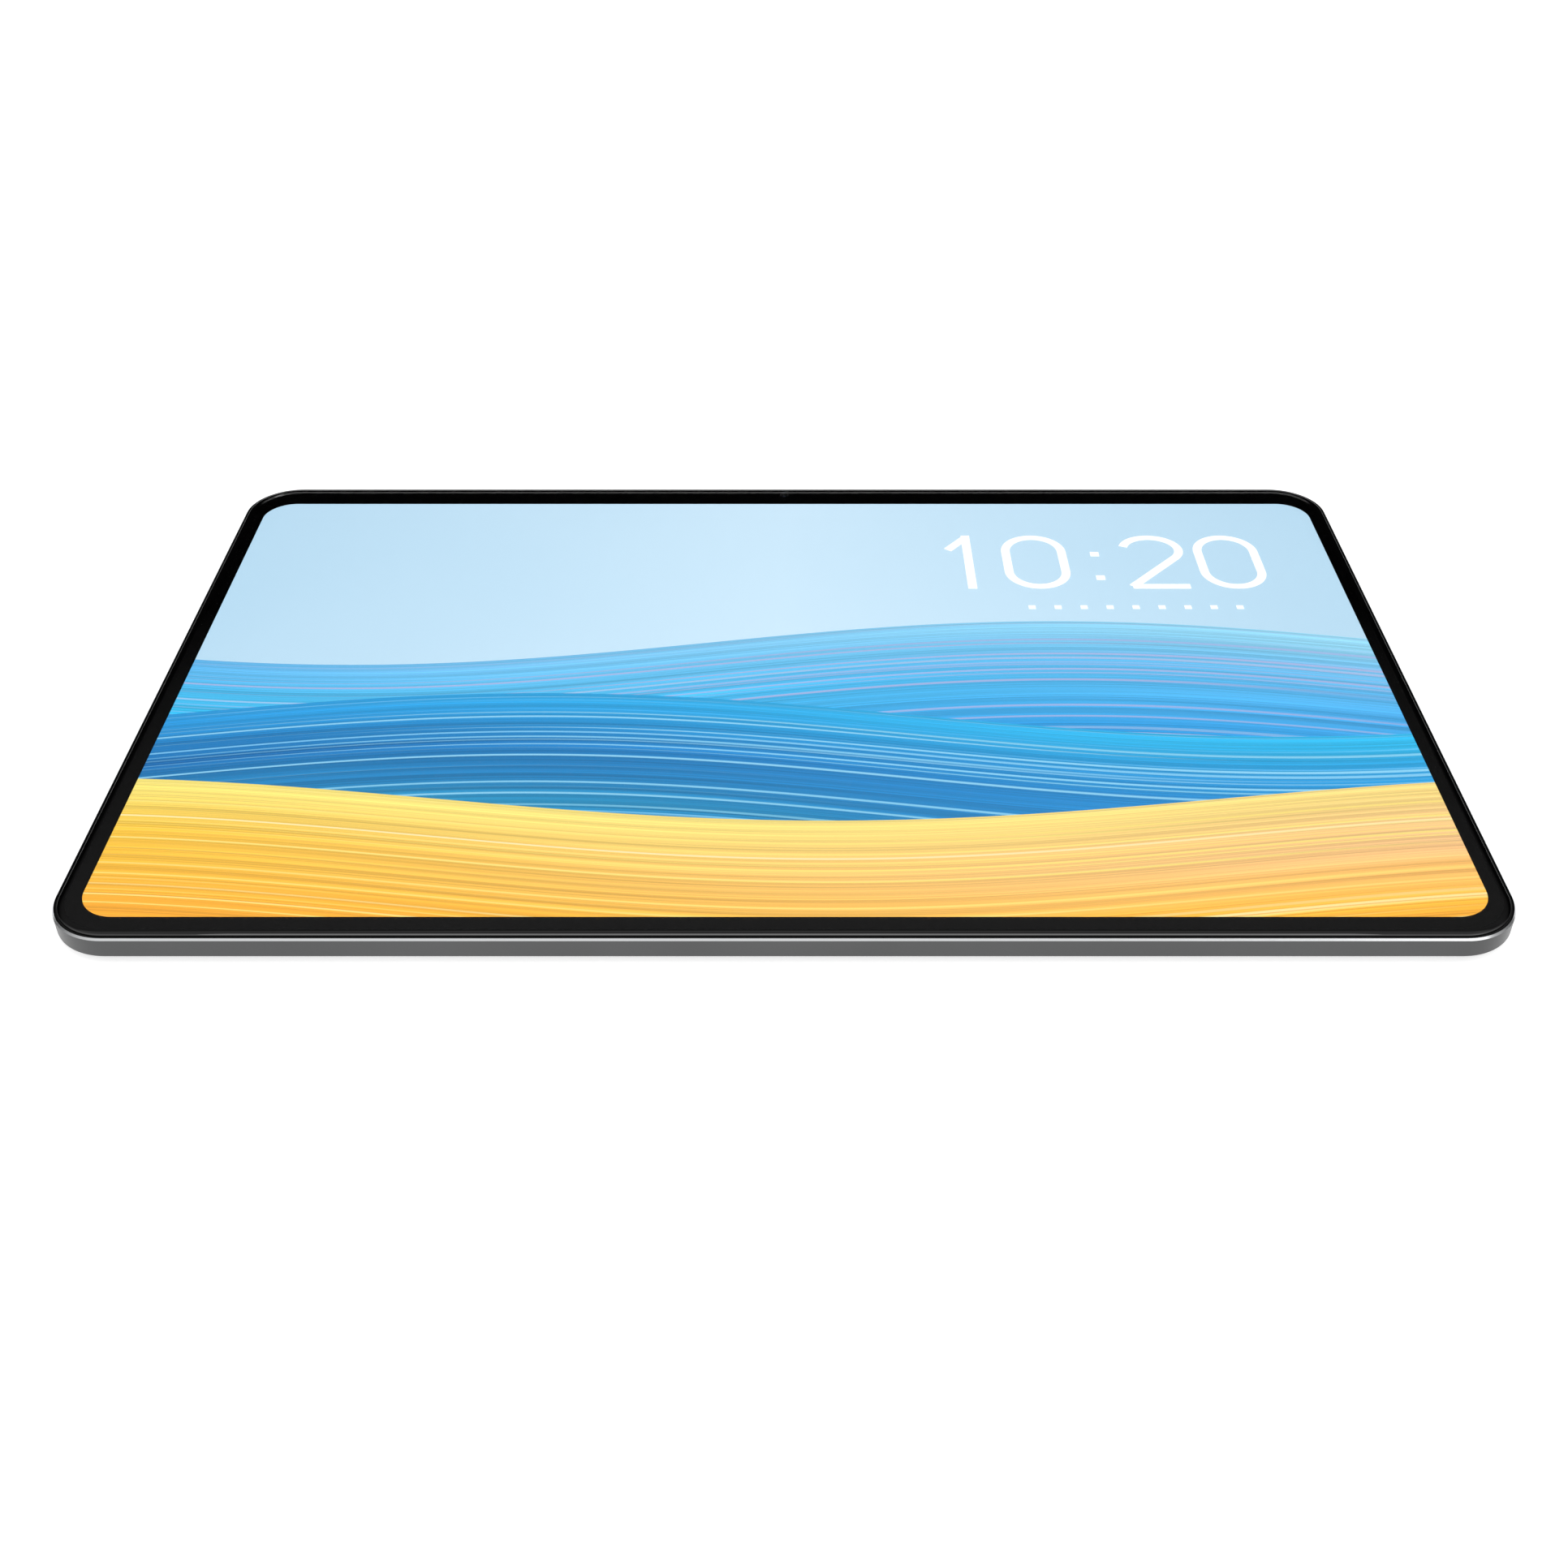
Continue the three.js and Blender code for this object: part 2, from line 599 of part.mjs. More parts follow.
// The stamped cover of the reader, open at the wall and towards its base.
function makeReaderCover() {
  const { x, y, coverZ, sheet } = READER;
  const inside = block({
    x: [x[0] + sheet, x[1] - sheet],
    y: [y[0] + sheet, y[1] + 1],
    z: [coverZ[0] - 1, coverZ[1] - sheet],
  });
  return cut(block({ x, y, z: coverZ }), [inside]);
}

function makeReaderBase() {
  return block({ x: READER.x, y: READER.y, z: READER.baseZ });
}

function makeEjectRod() {
  return block({ x: centred(TRAY.pinX, ROD.width), y: ROD.y, z: ROD.z });
}

function makeEjectLever() {
  const [x, y] = LEVER.pivot;
  const { halfLength, width, z, hubRadius, holeRadius } = LEVER;
  const arm = prismZ(slotShape(2 * halfLength, width, x, y), z);
  const hub = prismZ(circleShape(hubRadius, x, y), z);
  const hole = prismZ(circleShape(holeRadius, x, y, 16), [z[0] - 1, z[1] + 1]);
  return cut(join([arm, hub]), [hole]);
}

function makeEjectSlider() {
  return join([
    block({ x: PUSHER.nubX, y: PUSHER.nubY, z: PUSHER.z }),
    block({ x: PUSHER.plateX, y: PUSHER.plateY, z: PUSHER.z }),
  ]);
}

function makePivot() {
  const [x, y] = LEVER.pivot;
  const [foot, seat, top] = PIVOT.z;
  return join([
    prismZ(circleShape(PIVOT.headRadius, x, y, 16), [foot, seat]),
    prismZ(circleShape(PIVOT.shankRadius, x, y, 16), [seat - 0.1, top]),
  ]);
}

// ---------------------------------------------------------------- rear camera and flash

const CAMERA_MODULE = { body: 9.4, bodyZ: [1.4, 4.2], barrelRadius: 3.6, barrelZ: [0.75, 1.6] };
const CAMERA_RING = { z: [0.02, 0.68], bevel: 0.12 };
const CAMERA_WINDOW_Z = [0.14, 0.62];
const FLASH_LENS_Z = [0.02, 0.66];

function makeCameraModule() {
  const { x, y } = REAR_CAMERA;
  const { body, bodyZ, barrelRadius, barrelZ } = CAMERA_MODULE;
  return join([
    softBlock({ x: centred(x, body), y: centred(y, body), z: bodyZ }, 1),
    prismZ(circleShape(barrelRadius, x, y), barrelZ),
  ]);
}

function makeCameraRing() {
  const { ringRadius, windowRadius, x, y } = REAR_CAMERA;
  const { z: [low, high], bevel } = CAMERA_RING;
  const inner = windowRadius + GAP;
  const profile = [
    [inner, low + bevel], [inner + bevel, low], [ringRadius - bevel, low],
    [ringRadius, low + bevel], [ringRadius, high], [inner, high], [inner, low + bevel],
  ].map(([r, z]) => new THREE.Vector2(r, z));
  return new THREE.LatheGeometry(profile, 48).rotateX(Math.PI / 2).translate(x, y, 0);
}

function makeCameraWindow() {
  const { x, y, windowRadius } = REAR_CAMERA;
  return prismZ(circleShape(windowRadius, x, y, 48), CAMERA_WINDOW_Z);
}

function makeFlashLens() {
  return prismZ(circleShape(FLASH.radius, FLASH.x, FLASH.y), FLASH_LENS_Z);
}

// ---------------------------------------------------------------- finishes and assembly

const FINISH = {
  aluminium: { color: 0x6b6c6e, roughness: 0.38, metalness: 1.0 },
  glass: { color: 0x0a0b0d, roughness: 0.05, metalness: 0.0 },
  blackPlastic: { color: 0x0c0c0d, roughness: 0.5, metalness: 0.0 },
  screen: { color: 0xc8e5f9, roughness: 0.3, metalness: 0.0 },
  steel: { color: 0xb4b6b8, roughness: 0.35, metalness: 1.0 },
  board: { color: 0x16422c, roughness: 0.55, metalness: 0.0 },
  flex: { color: 0xb8641e, roughness: 0.5, metalness: 0.0 },
  foil: { color: 0x2b2c2e, roughness: 0.45, metalness: 0.0 },
  tape: { color: 0xe8e8e2, roughness: 0.8, metalness: 0.0 },
  mesh: { color: 0x1b1b1c, roughness: 0.6, metalness: 0.6 },
  lens: { color: 0x10131c, roughness: 0.05, metalness: 0.0 },
  flash: { color: 0xf2ecd2, roughness: 0.25, metalness: 0.0 },
};

const tablet = new THREE.Group();

function add(name, finish, geometry) {
  const mesh = new THREE.Mesh(geometry, new THREE.MeshStandardMaterial(FINISH[finish]));
  mesh.name = name;
  tablet.add(mesh);
}

function addShellAndDisplay() {
  add('rear_housing', 'aluminium', makeHousing());
  add('cover_glass', 'glass', makeGlass());
  add('screen_bezel_frame', 'blackPlastic', makeBezelFrame());
  add('glass_adhesive', 'foil', makeAdhesive());
  add('lcd_panel', 'screen', makeLcdPanel());
  add('backlight_unit', 'tape', makeBacklight());
  add('display_back_plate', 'steel', softBlock(PLATE, PLATE.radius));
  add('display_driver_board', 'board', block(DRIVER_BOARD));
  add('display_flex', 'flex', makeDisplayFlex());
  add('front_camera_module', 'lens', makeFrontCamera());
}

function addBoards() {
  add('main_board', 'board', makeMainBoard());
  for (const [name, extent] of Object.entries(CANS)) add(name, 'steel', makeCan(extent));
  SCREWS.forEach((place, i) => add(`board_screw_${i + 1}`, 'steel', makeScrew(place)));
  add('usb_board', 'board', makeUsbBoard());
  add('usb_c_shell', 'steel', makeUsbShell());
  add('usb_c_tongue', 'blackPlastic', makeUsbTongue());
  add('interconnect_flex', 'flex', makeInterconnect());
}

function addBattery() {
  for (const [side, x] of Object.entries(CELLS)) {
    add(`battery_cell_${side}`, 'foil', softBlock({ x, y: CELL_Y, z: CELL_Z }, 1.4));
    const tape = {
      x: [x[0] + TAPE_MARGIN, x[1] - TAPE_MARGIN],
      y: [CELL_Y[0] + TAPE_MARGIN, CELL_Y[1] - TAPE_MARGIN],
      z: CELL_TAPE_Z,
    };
    add(`battery_adhesive_${side}`, 'tape', block(tape));
  }
  add('battery_protection_board', 'board', block(PROTECTION_BOARD));
  add('battery_connector', 'blackPlastic', softBlock(BATTERY_CONNECTOR, 0.5));
}

function addSoundAndRadio() {
  for (const [side, sign] of [['left', -1], ['right', 1]]) {
    for (const [end, half] of [['near', -1], ['far', 1]]) {
      add(`speaker_box_${side}_${end}`, 'blackPlastic', makeSpeakerBox(sign, half));
      add(`speaker_mesh_${side}_${end}`, 'mesh', makeSpeakerMesh(side, half));
    }
  }
  const [leftX, rightX] = MICROPHONE.x;
  add('microphone_left', 'steel', makeMicrophone(leftX));
  add('microphone_right', 'steel', makeMicrophone(rightX));
  add('antenna_window', 'blackPlastic', makeAntennaWindow());
  for (const [name, x] of Object.entries(ANTENNAS)) add(name, 'flex', block({ x, ...ANTENNA }));
}

function addKeys() {
  add('power_button', 'aluminium', makeKey('left', POWER.y, POWER, [0]));
  add('power_switch', 'steel', makeSwitch('left', POWER.y));
  add('power_bracket', 'steel', makeBracket('left', POWER.y, POWER.length));
  const nubs = [-VOLUME_SWITCH_OFFSET, VOLUME_SWITCH_OFFSET];
  add('volume_rocker', 'aluminium', makeKey('top', VOLUME.x, VOLUME, nubs));
  add('volume_up_switch', 'steel', makeSwitch('top', VOLUME.x - VOLUME_SWITCH_OFFSET));
  add('volume_down_switch', 'steel', makeSwitch('top', VOLUME.x + VOLUME_SWITCH_OFFSET));
  add('volume_bracket', 'steel', makeBracket('top', VOLUME.x, VOLUME.length));
}

function addCardSlot() {
  add('card_tray', 'aluminium', makeTray());
  add('card_reader_cover', 'steel', makeReaderCover());
  add('card_reader_base', 'blackPlastic', makeReaderBase());
  add('eject_rod', 'steel', makeEjectRod());
  add('eject_lever', 'steel', makeEjectLever());
  add('eject_slider', 'steel', makeEjectSlider());
  add('eject_pivot', 'steel', makePivot());
}

function addRearCamera() {
  add('rear_camera_module', 'blackPlastic', makeCameraModule());
  add('rear_camera_ring', 'aluminium', makeCameraRing());
  add('rear_camera_window', 'lens', makeCameraWindow());
  add('flash_lens', 'flash', makeFlashLens());
}

addShellAndDisplay();
addBoards();
addBattery();
addSoundAndRadio();
addKeys();
addCardSlot();
addRearCamera();

export default tablet;
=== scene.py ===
import json
import math

import bmesh
import bpy
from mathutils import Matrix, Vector


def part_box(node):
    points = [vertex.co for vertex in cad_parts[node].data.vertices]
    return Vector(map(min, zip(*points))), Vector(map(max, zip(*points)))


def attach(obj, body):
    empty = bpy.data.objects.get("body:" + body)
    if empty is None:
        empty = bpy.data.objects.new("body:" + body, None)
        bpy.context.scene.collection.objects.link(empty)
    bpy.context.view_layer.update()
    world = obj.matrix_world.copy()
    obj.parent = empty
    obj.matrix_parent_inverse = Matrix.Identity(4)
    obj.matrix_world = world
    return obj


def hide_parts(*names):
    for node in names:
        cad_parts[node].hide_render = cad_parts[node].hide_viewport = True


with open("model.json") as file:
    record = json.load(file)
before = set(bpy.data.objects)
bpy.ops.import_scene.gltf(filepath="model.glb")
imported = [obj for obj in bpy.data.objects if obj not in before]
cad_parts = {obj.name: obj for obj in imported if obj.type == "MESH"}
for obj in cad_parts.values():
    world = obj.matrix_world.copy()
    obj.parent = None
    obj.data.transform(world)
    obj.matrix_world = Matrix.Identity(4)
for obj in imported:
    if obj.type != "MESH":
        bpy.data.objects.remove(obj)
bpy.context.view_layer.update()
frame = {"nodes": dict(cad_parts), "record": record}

MM = 0.001

# ------------------------------------------------------------------ sizes, from the frame

HOUSING_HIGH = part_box("rear_housing")[1]
GLASS_LOW, GLASS_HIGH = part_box("cover_glass")
HALF_X, HALF_Y = HOUSING_HIGH.x, HOUSING_HIGH.y
RIM_Z = HOUSING_HIGH.z
CORNER_RADIUS = 12 * MM
CORNER_STEPS = 24

DISPLAY_HALF = Vector((130.6, 78.3)) * MM
DISPLAY_CENTRE = Vector((0.2, -1.1)) * MM
DISPLAY_CORNER = 7.2 * MM
PICTURE_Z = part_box("lcd_panel")[1].z + 0.01 * MM
LAYER = 0.005 * MM


# ------------------------------------------------------------------ camera, light and floor

SENSOR_WIDTH = 36.0
LENS = 40.99
LENS_SHIFT = -0.0040
CAMERA_PITCH = 37.37
CAMERA_PLACE = (1.16 * MM, -324.4 * MM, RIM_Z + 217.8 * MM)
STUDIO_REACH = 4.0
STUDIO_Z = -0.05 * MM
CEILING_STOPS = [
    (0.50, 0.0), (0.66, 0.12), (0.75, 0.10), (0.80, 0.42), (0.86, 0.24), (0.93, 0.32), (1.0, 1.0),
]
WALL_LIGHT = (0.25, 0.9)


def add_camera():
    camera = bpy.data.cameras.new("camera")
    camera.sensor_width = SENSOR_WIDTH
    camera.lens = LENS
    camera.shift_x = LENS_SHIFT
    camera.clip_start = 0.01
    holder = bpy.data.objects.new("camera", camera)
    holder.location = CAMERA_PLACE
    holder.rotation_euler = (math.radians(90 - CAMERA_PITCH), 0, 0)
    bpy.context.scene.collection.objects.link(holder)
    bpy.context.scene.camera = holder


def add_area(name, place, target, size, power):
    light = bpy.data.lights.new(name, "AREA")
    light.shape = "RECTANGLE"
    light.size, light.size_y = size
    light.energy = power
    holder = bpy.data.objects.new(name, light)
    holder.location = place
    aim = Vector(target) - Vector(place)
    holder.rotation_euler = aim.to_track_quat("-Z", "Y").to_euler()
    bpy.context.scene.collection.objects.link(holder)


def add_world():
    """A white studio round the camera, dark beyond the far edge so that the flat glass stays black,
    with a strip light and a bright ceiling. The camera itself sees plain pale walls."""
    world = bpy.data.worlds.new("studio")
    world.use_nodes = True
    bpy.context.scene.world = world
    tree = world.node_tree
    parts = tree.nodes.new("ShaderNodeSeparateXYZ")
    ceiling = tree.nodes.new("ShaderNodeValToRGB")
    walls, heights = (tree.nodes.new("ShaderNodeMapRange") for _ in range(2))
    shaded, brighter = (tree.nodes.new("ShaderNodeMath") for _ in range(2))
    shaded.operation, brighter.operation = "MULTIPLY", "MAXIMUM"
    path = tree.nodes.new("ShaderNodeLightPath")
    seen = tree.nodes.new("ShaderNodeMix")
    seen.data_type = "RGBA"
    stops = ceiling.color_ramp.elements
    for height, level in CEILING_STOPS[2:]:
        stops.new(height)
    for stop, (height, level) in zip(stops, CEILING_STOPS):
        stop.position, stop.color = height, (level, level, level, 1)
    for node, reach, levels in [(walls, (0.45, 0.05), (0, 1)), (heights, (0.3, 0.65), WALL_LIGHT)]:
        node.inputs["From Min"].default_value, node.inputs["From Max"].default_value = reach
        node.inputs["To Min"].default_value, node.inputs["To Max"].default_value = levels
    seen.inputs["B"].default_value = (1, 1, 1, 1)
    coordinates = tree.nodes.new("ShaderNodeTexCoord")
    tree.links.new(coordinates.outputs["Generated"], parts.inputs[0])
    tree.links.new(parts.outputs["Z"], ceiling.inputs["Fac"])
    tree.links.new(parts.outputs["Y"], walls.inputs["Value"])
    tree.links.new(ceiling.outputs["Color"], brighter.inputs[0])
    tree.links.new(parts.outputs["Z"], heights.inputs["Value"])
    tree.links.new(walls.outputs["Result"], shaded.inputs[0])
    tree.links.new(heights.outputs["Result"], shaded.inputs[1])
    tree.links.new(shaded.outputs[0], brighter.inputs[1])
    tree.links.new(path.outputs["Is Camera Ray"], seen.inputs["Factor"])
    tree.links.new(brighter.outputs[0], seen.inputs["A"])
    tree.links.new(seen.outputs["Result"], tree.nodes["Background"].inputs["Color"])


def add_floor():
    """A pale sheet, clear from below so that the back can be looked at."""
    mesh = bpy.data.meshes.new("floor")
    turns = [(-1, -1), (1, -1), (1, 1), (-1, 1)]
    corners = [(x * STUDIO_REACH, y * STUDIO_REACH, STUDIO_Z) for x, y in turns]
    mesh.from_pydata(corners, [], [(0, 1, 2, 3)])
    floor = bpy.data.objects.new("floor", mesh)
    bpy.context.scene.collection.objects.link(floor)
    paint = Paint("floor_paper", (0.8, 0.8, 0.8), 0.9)
    paint.set("Emission Color", (1, 1, 1, 1))
    paint.set("Emission Strength", 0.7)
    tree = paint.tree
    mix = tree.nodes.new("ShaderNodeMixShader")
    tree.links.new(paint.node("NewGeometry").outputs["Backfacing"], mix.inputs["Fac"])
    tree.links.new(paint.shader.outputs[0], mix.inputs[1])
    tree.links.new(paint.node("BsdfTransparent").outputs[0], mix.inputs[2])
    tree.links.new(mix.outputs[0], tree.nodes["Material Output"].inputs["Surface"])
    mesh.materials.append(paint.material)


# ------------------------------------------------------------------ shader helpers

class Paint:
    """A material with one Principled shader, and short calls that add nodes in front of it."""

    def __init__(self, name, colour, roughness=0.5, metallic=0.0, **inputs):
        self.material = bpy.data.materials.new(name)
        self.material.use_nodes = True
        self.tree = self.material.node_tree
        self.shader = self.tree.nodes["Principled BSDF"]
        self.set("Base Color", (*colour, 1))
        self.set("Roughness", roughness)
        self.set("Metallic", metallic)
        for socket, value in inputs.items():
            self.set(socket.replace("_", " "), value)
        self.place = self.tree.nodes.new("ShaderNodeTexCoord").outputs["Object"]

    def set(self, socket, value):
        self.shader.inputs[socket].default_value = value

    def node(self, kind, **inputs):
        node = self.tree.nodes.new("ShaderNode" + kind)
        for name, value in inputs.items():
            self.feed(node.inputs[name.replace("_", " ")], value)
        return node

    def feed(self, socket, value):
        if isinstance(value, bpy.types.NodeSocket):
            self.tree.links.new(value, socket)
        else:
            socket.default_value = value

    def scaled(self, factors, place=None):
        node = self.tree.nodes.new("ShaderNodeMapping")
        self.feed(node.inputs["Vector"], place or self.place)
        node.inputs["Scale"].default_value = factors
        return node.outputs[0]

    def noise(self, scale, detail=2.0, place=None):
        node = self.node("TexNoise", Vector=place or self.place, Scale=scale, Detail=detail)
        return node.outputs["Fac"]

    def spread(self, value, low, high, source=(0.3, 0.7)):
        node = self.node("MapRange", Value=value)
        node.inputs["From Min"].default_value, node.inputs["From Max"].default_value = source
        node.inputs["To Min"].default_value, node.inputs["To Max"].default_value = low, high
        return node.outputs[0]

    def ramp(self, value, stops):
        node = self.node("ValToRGB", Fac=value)
        elements = node.color_ramp.elements
        while len(elements) < len(stops):
            elements.new(1.0)
        for element, (position, colour) in zip(elements, stops):
            element.position = position
            element.color = (*colour, 1)
        return node.outputs["Color"]

    def blend(self, factor, first, second, kind="MIX"):
        node = self.tree.nodes.new("ShaderNodeMix")
        node.data_type = "RGBA"
        node.blend_type = kind
        self.feed(node.inputs["Factor"], factor)
        self.feed(node.inputs["A"], first)
        self.feed(node.inputs["B"], second)
        return node.outputs["Result"]

    def maths(self, operation, a, b=0.0):
        node = self.tree.nodes.new("ShaderNodeMath")
        node.operation = operation
        self.feed(node.inputs[0], a)
        self.feed(node.inputs[1], b)
        return node.outputs[0]

    def wear(self, value, low, high):
        """Roughness that follows a pattern."""
        self.feed(self.shader.inputs["Roughness"], self.spread(value, low, high))
        return self

    def tint(self, value, low, high):
        """Base colour between two colours, by a pattern."""
        colour = self.ramp(value, [(0.3, low), (0.7, high)])
        self.feed(self.shader.inputs["Base Color"], colour)
        return self

    def relief(self, value, strength, depth):
        node = self.node("Bump", Height=value, Strength=strength, Distance=depth)
        self.feed(self.shader.inputs["Normal"], node.outputs[0])
        return self


def linear(red, green, blue):
    """The linear colour of an sRGB triple from 0 to 255."""
    def one(value):
        value /= 255
        return value / 12.92 if value <= 0.04045 else ((value + 0.055) / 1.055) ** 2.4
    return one(red), one(green), one(blue)


def scaled_colour(colour, factor):
    return tuple(channel * factor for channel in colour)


# ------------------------------------------------------------------ materials

def anodised(name="anodised_aluminium", colour=(0.098, 0.099, 0.100)):
    paint = Paint(name, colour, 0.36, 1.0)
    grain = paint.noise(9000, 3.0)
    cloud = paint.noise(38, 3.0)
    paint.tint(cloud, scaled_colour(colour, 0.95), scaled_colour(colour, 1.05))
    paint.wear(grain, 0.33, 0.41)
    return paint.relief(grain, 0.12, 0.02 * MM)


def polished_edge():
    paint = Paint("polished_chamfer", (0.70, 0.71, 0.72), 0.2, 1.0)
    lines = paint.noise(1.0, 2.0, paint.scaled((300, 300, 60000)))
    paint.tint(lines, (0.66, 0.67, 0.68), (0.74, 0.75, 0.76))
    return paint.wear(lines, 0.16, 0.26)


def moulded_black(name="moulded_black", level=0.006, roughness=0.5, gloss=0.3):
    paint = Paint(name, (level, level, level), roughness, Specular_IOR_Level=gloss)
    grain = paint.noise(7000, 2.0)
    paint.tint(paint.noise(120), (level * 0.8,) * 3, (level * 1.3,) * 3)
    paint.wear(grain, roughness - 0.06, roughness + 0.08)
    return paint.relief(grain, 0.1, 0.02 * MM)


def stamped_steel(name="stamped_steel", colour=(0.55, 0.55, 0.54)):
    paint = Paint(name, colour, 0.3, 1.0)
    rolled = paint.noise(1.0, 3.0, paint.scaled((250, 9000, 9000)))
    paint.tint(rolled, scaled_colour(colour, 0.85), scaled_colour(colour, 1.1))
    paint.wear(rolled, 0.24, 0.4)
    return paint.relief(rolled, 0.08, 0.01 * MM)


def circuit_board():
    paint = Paint("circuit_board", (0.01, 0.07, 0.035), 0.4)
    tracks = paint.node("TexBrick", Vector=paint.place, Scale=600.0)
    tracks.inputs["Color1"].default_value = (0.008, 0.075, 0.035, 1)
    tracks.inputs["Color2"].default_value = (0.012, 0.095, 0.045, 1)
    tracks.inputs["Mortar"].default_value = (0.02, 0.13, 0.06, 1)
    pads = paint.node("TexVoronoi", Vector=paint.place, Scale=700.0).outputs["Distance"]
    pad = paint.maths("LESS_THAN", pads, 0.16)
    colour = paint.blend(pad, tracks.outputs["Color"], (0.45, 0.42, 0.36, 1))
    paint.feed(paint.shader.inputs["Base Color"], colour)
    return paint.wear(paint.noise(900), 0.32, 0.5)


def flex_circuit():
    paint = Paint("polyimide_flex", (0.35, 0.13, 0.02), 0.35)
    lanes = paint.node("TexWave", Vector=paint.place, Scale=900.0).outputs["Fac"]
    paint.tint(lanes, (0.28, 0.10, 0.015), (0.45, 0.18, 0.03))
    return paint.wear(paint.noise(400), 0.3, 0.45)


def pouch_foil():
    paint = Paint("pouch_foil", (0.02, 0.02, 0.022), 0.35, 0.2)
    creases_and_shade = paint.noise(220, 4.0)
    # the base colour follows the crease relief: painted shade in the hollows and painted light on the
    # ridges
    paint.tint(creases_and_shade, (0.014, 0.014, 0.016), (0.03, 0.03, 0.033))
    paint.wear(creases_and_shade, 0.28, 0.45)
    return paint.relief(creases_and_shade, 0.4, 0.15 * MM)


def white_film():
    paint = Paint("white_film", (0.75, 0.75, 0.73), 0.6)
    dots = paint.node("TexVoronoi", Vector=paint.place, Scale=1500.0).outputs["Distance"]
    paint.tint(dots, (0.68, 0.68, 0.66), (0.8, 0.8, 0.78))
    return paint.wear(paint.noise(200), 0.5, 0.7)


def woven_mesh():
    paint = Paint("woven_mesh", (0.02, 0.02, 0.022), 0.5, 0.6)
    cells = paint.node("TexVoronoi", Vector=paint.place, Scale=3600.0)
    cells.inputs["Randomness"].default_value = 0.0
    wires = cells.outputs["Distance"]
    paint.tint(wires, (0.002, 0.002, 0.002), (0.045, 0.045, 0.05))
    paint.wear(wires, 0.35, 0.6)
    return paint.relief(wires, 0.6, 0.08 * MM)


def clear_glass(name="clear_glass"):
    """Clear glass that lets the lamps' light through to what is under it."""
    paint = Paint(name, (0.985, 0.99, 0.99), 0.01, Transmission_Weight=1.0, IOR=1.5)
    paint.wear(paint.noise(60, 3.0), 0.004, 0.022)
    tree = paint.tree
    path = tree.nodes.new("ShaderNodeLightPath")
    through = tree.nodes.new("ShaderNodeBsdfTransparent")
    mix = tree.nodes.new("ShaderNodeMixShader")
    tree.links.new(path.outputs["Is Shadow Ray"], mix.inputs["Fac"])
    tree.links.new(paint.shader.outputs[0], mix.inputs[1])
    tree.links.new(through.outputs[0], mix.inputs[2])
    tree.links.new(mix.outputs[0], tree.nodes["Material Output"].inputs["Surface"])
    return paint


def border_ink():
    paint = Paint("border_ink", (0.0015, 0.0015, 0.0016), 0.6, Specular_IOR_Level=0.0)
    specks = paint.noise(4000, 2.0)
    paint.tint(specks, (0.001, 0.001, 0.0011), (0.002, 0.002, 0.0021))
    return paint.wear(specks, 0.5, 0.7)


def backed_glass():
    """Glass over black print, seen as one gloss black skin."""
    paint = Paint("backed_glass", (0.0015, 0.0015, 0.0016), 0.02, Specular_IOR_Level=0.85)
    specks = paint.noise(400, 2.0)
    paint.tint(specks, (0.001, 0.001, 0.0011), (0.002, 0.002, 0.0021))
    return paint.wear(specks, 0.015, 0.03)


def lens_coating():
    """Dark glass with the violet and green sheen of a coated lens."""
    paint = Paint("lens_coating", (0.004, 0.004, 0.012), 0.04, Coat_Weight=1.0, Coat_Roughness=0.02)
    cloud = paint.noise(700, 1.0)
    paint.tint(cloud, (0.012, 0.004, 0.03), (0.003, 0.016, 0.022))
    return paint.wear(cloud, 0.03, 0.07)


def gilt_contact():
    paint = Paint("gilt_contact", (0.75, 0.52, 0.2), 0.25, 1.0)
    cloud = paint.noise(3000)
    paint.tint(cloud, (0.68, 0.46, 0.17), (0.82, 0.58, 0.25))
    return paint.wear(cloud, 0.2, 0.35)


def flash_cover():
    """Ribbed translucent cover with the yellow of the lamp behind its centre."""
    paint = Paint("flash_cover", (0.7, 0.68, 0.58), 0.22, Coat_Weight=0.6)
    low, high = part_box("flash_lens")
    centre = (low + high) / 2
    shifted = paint.node("VectorMath", Vector=paint.place)
    shifted.operation = "SUBTRACT"
    paint.feed(shifted.inputs[1], (centre.x, centre.y, 0))
    flat = paint.scaled((1, 1, 0), shifted.outputs[0])
    length = paint.node("VectorMath", Vector=flat)
    length.operation = "LENGTH"
    radius = length.outputs["Value"]
    near = paint.spread(radius, 0.0, 1.0, (0.3 * MM, 1.7 * MM))
    colour = paint.ramp(near, [(0.15, (0.75, 0.5, 0.09)), (0.75, (0.66, 0.65, 0.6))])
    paint.feed(paint.shader.inputs["Base Color"], colour)
    ribs = paint.maths("SINE", paint.maths("MULTIPLY", radius, 2 * math.pi / (0.3 * MM)))
    return paint.relief(ribs, 0.5, 0.03 * MM)


def glowing(paint, colour, strength=1.0):
    """Makes a material shine with a colour socket, as a lit screen does."""
    paint.feed(paint.shader.inputs["Emission Color"], colour)
    paint.set("Emission Strength", strength)
    return paint


SCREEN_GAIN = 1.2
DIGIT_GAIN = 1.4
SKY_SIDE = linear(186, 221, 243)
SKY_CENTRE = linear(206, 234, 252)
GOLD = linear(250, 200, 60)
LEMON = linear(250, 230, 120)
CREAM = linear(254, 222, 135)
ORANGE = linear(250, 148, 28)
AMBER = linear(252, 184, 60)
PEACH = linear(246, 196, 140)
ICE = linear(158, 224, 250)
SKY_BLUE = linear(92, 182, 238)
CYAN = linear(50, 192, 242)
BLUE = linear(42, 150, 218)
DEEP_BLUE = linear(22, 104, 172)
LILAC = linear(182, 178, 222)
TEAL = linear(44, 156, 196)
WHITE = (1.0, 1.0, 1.0)


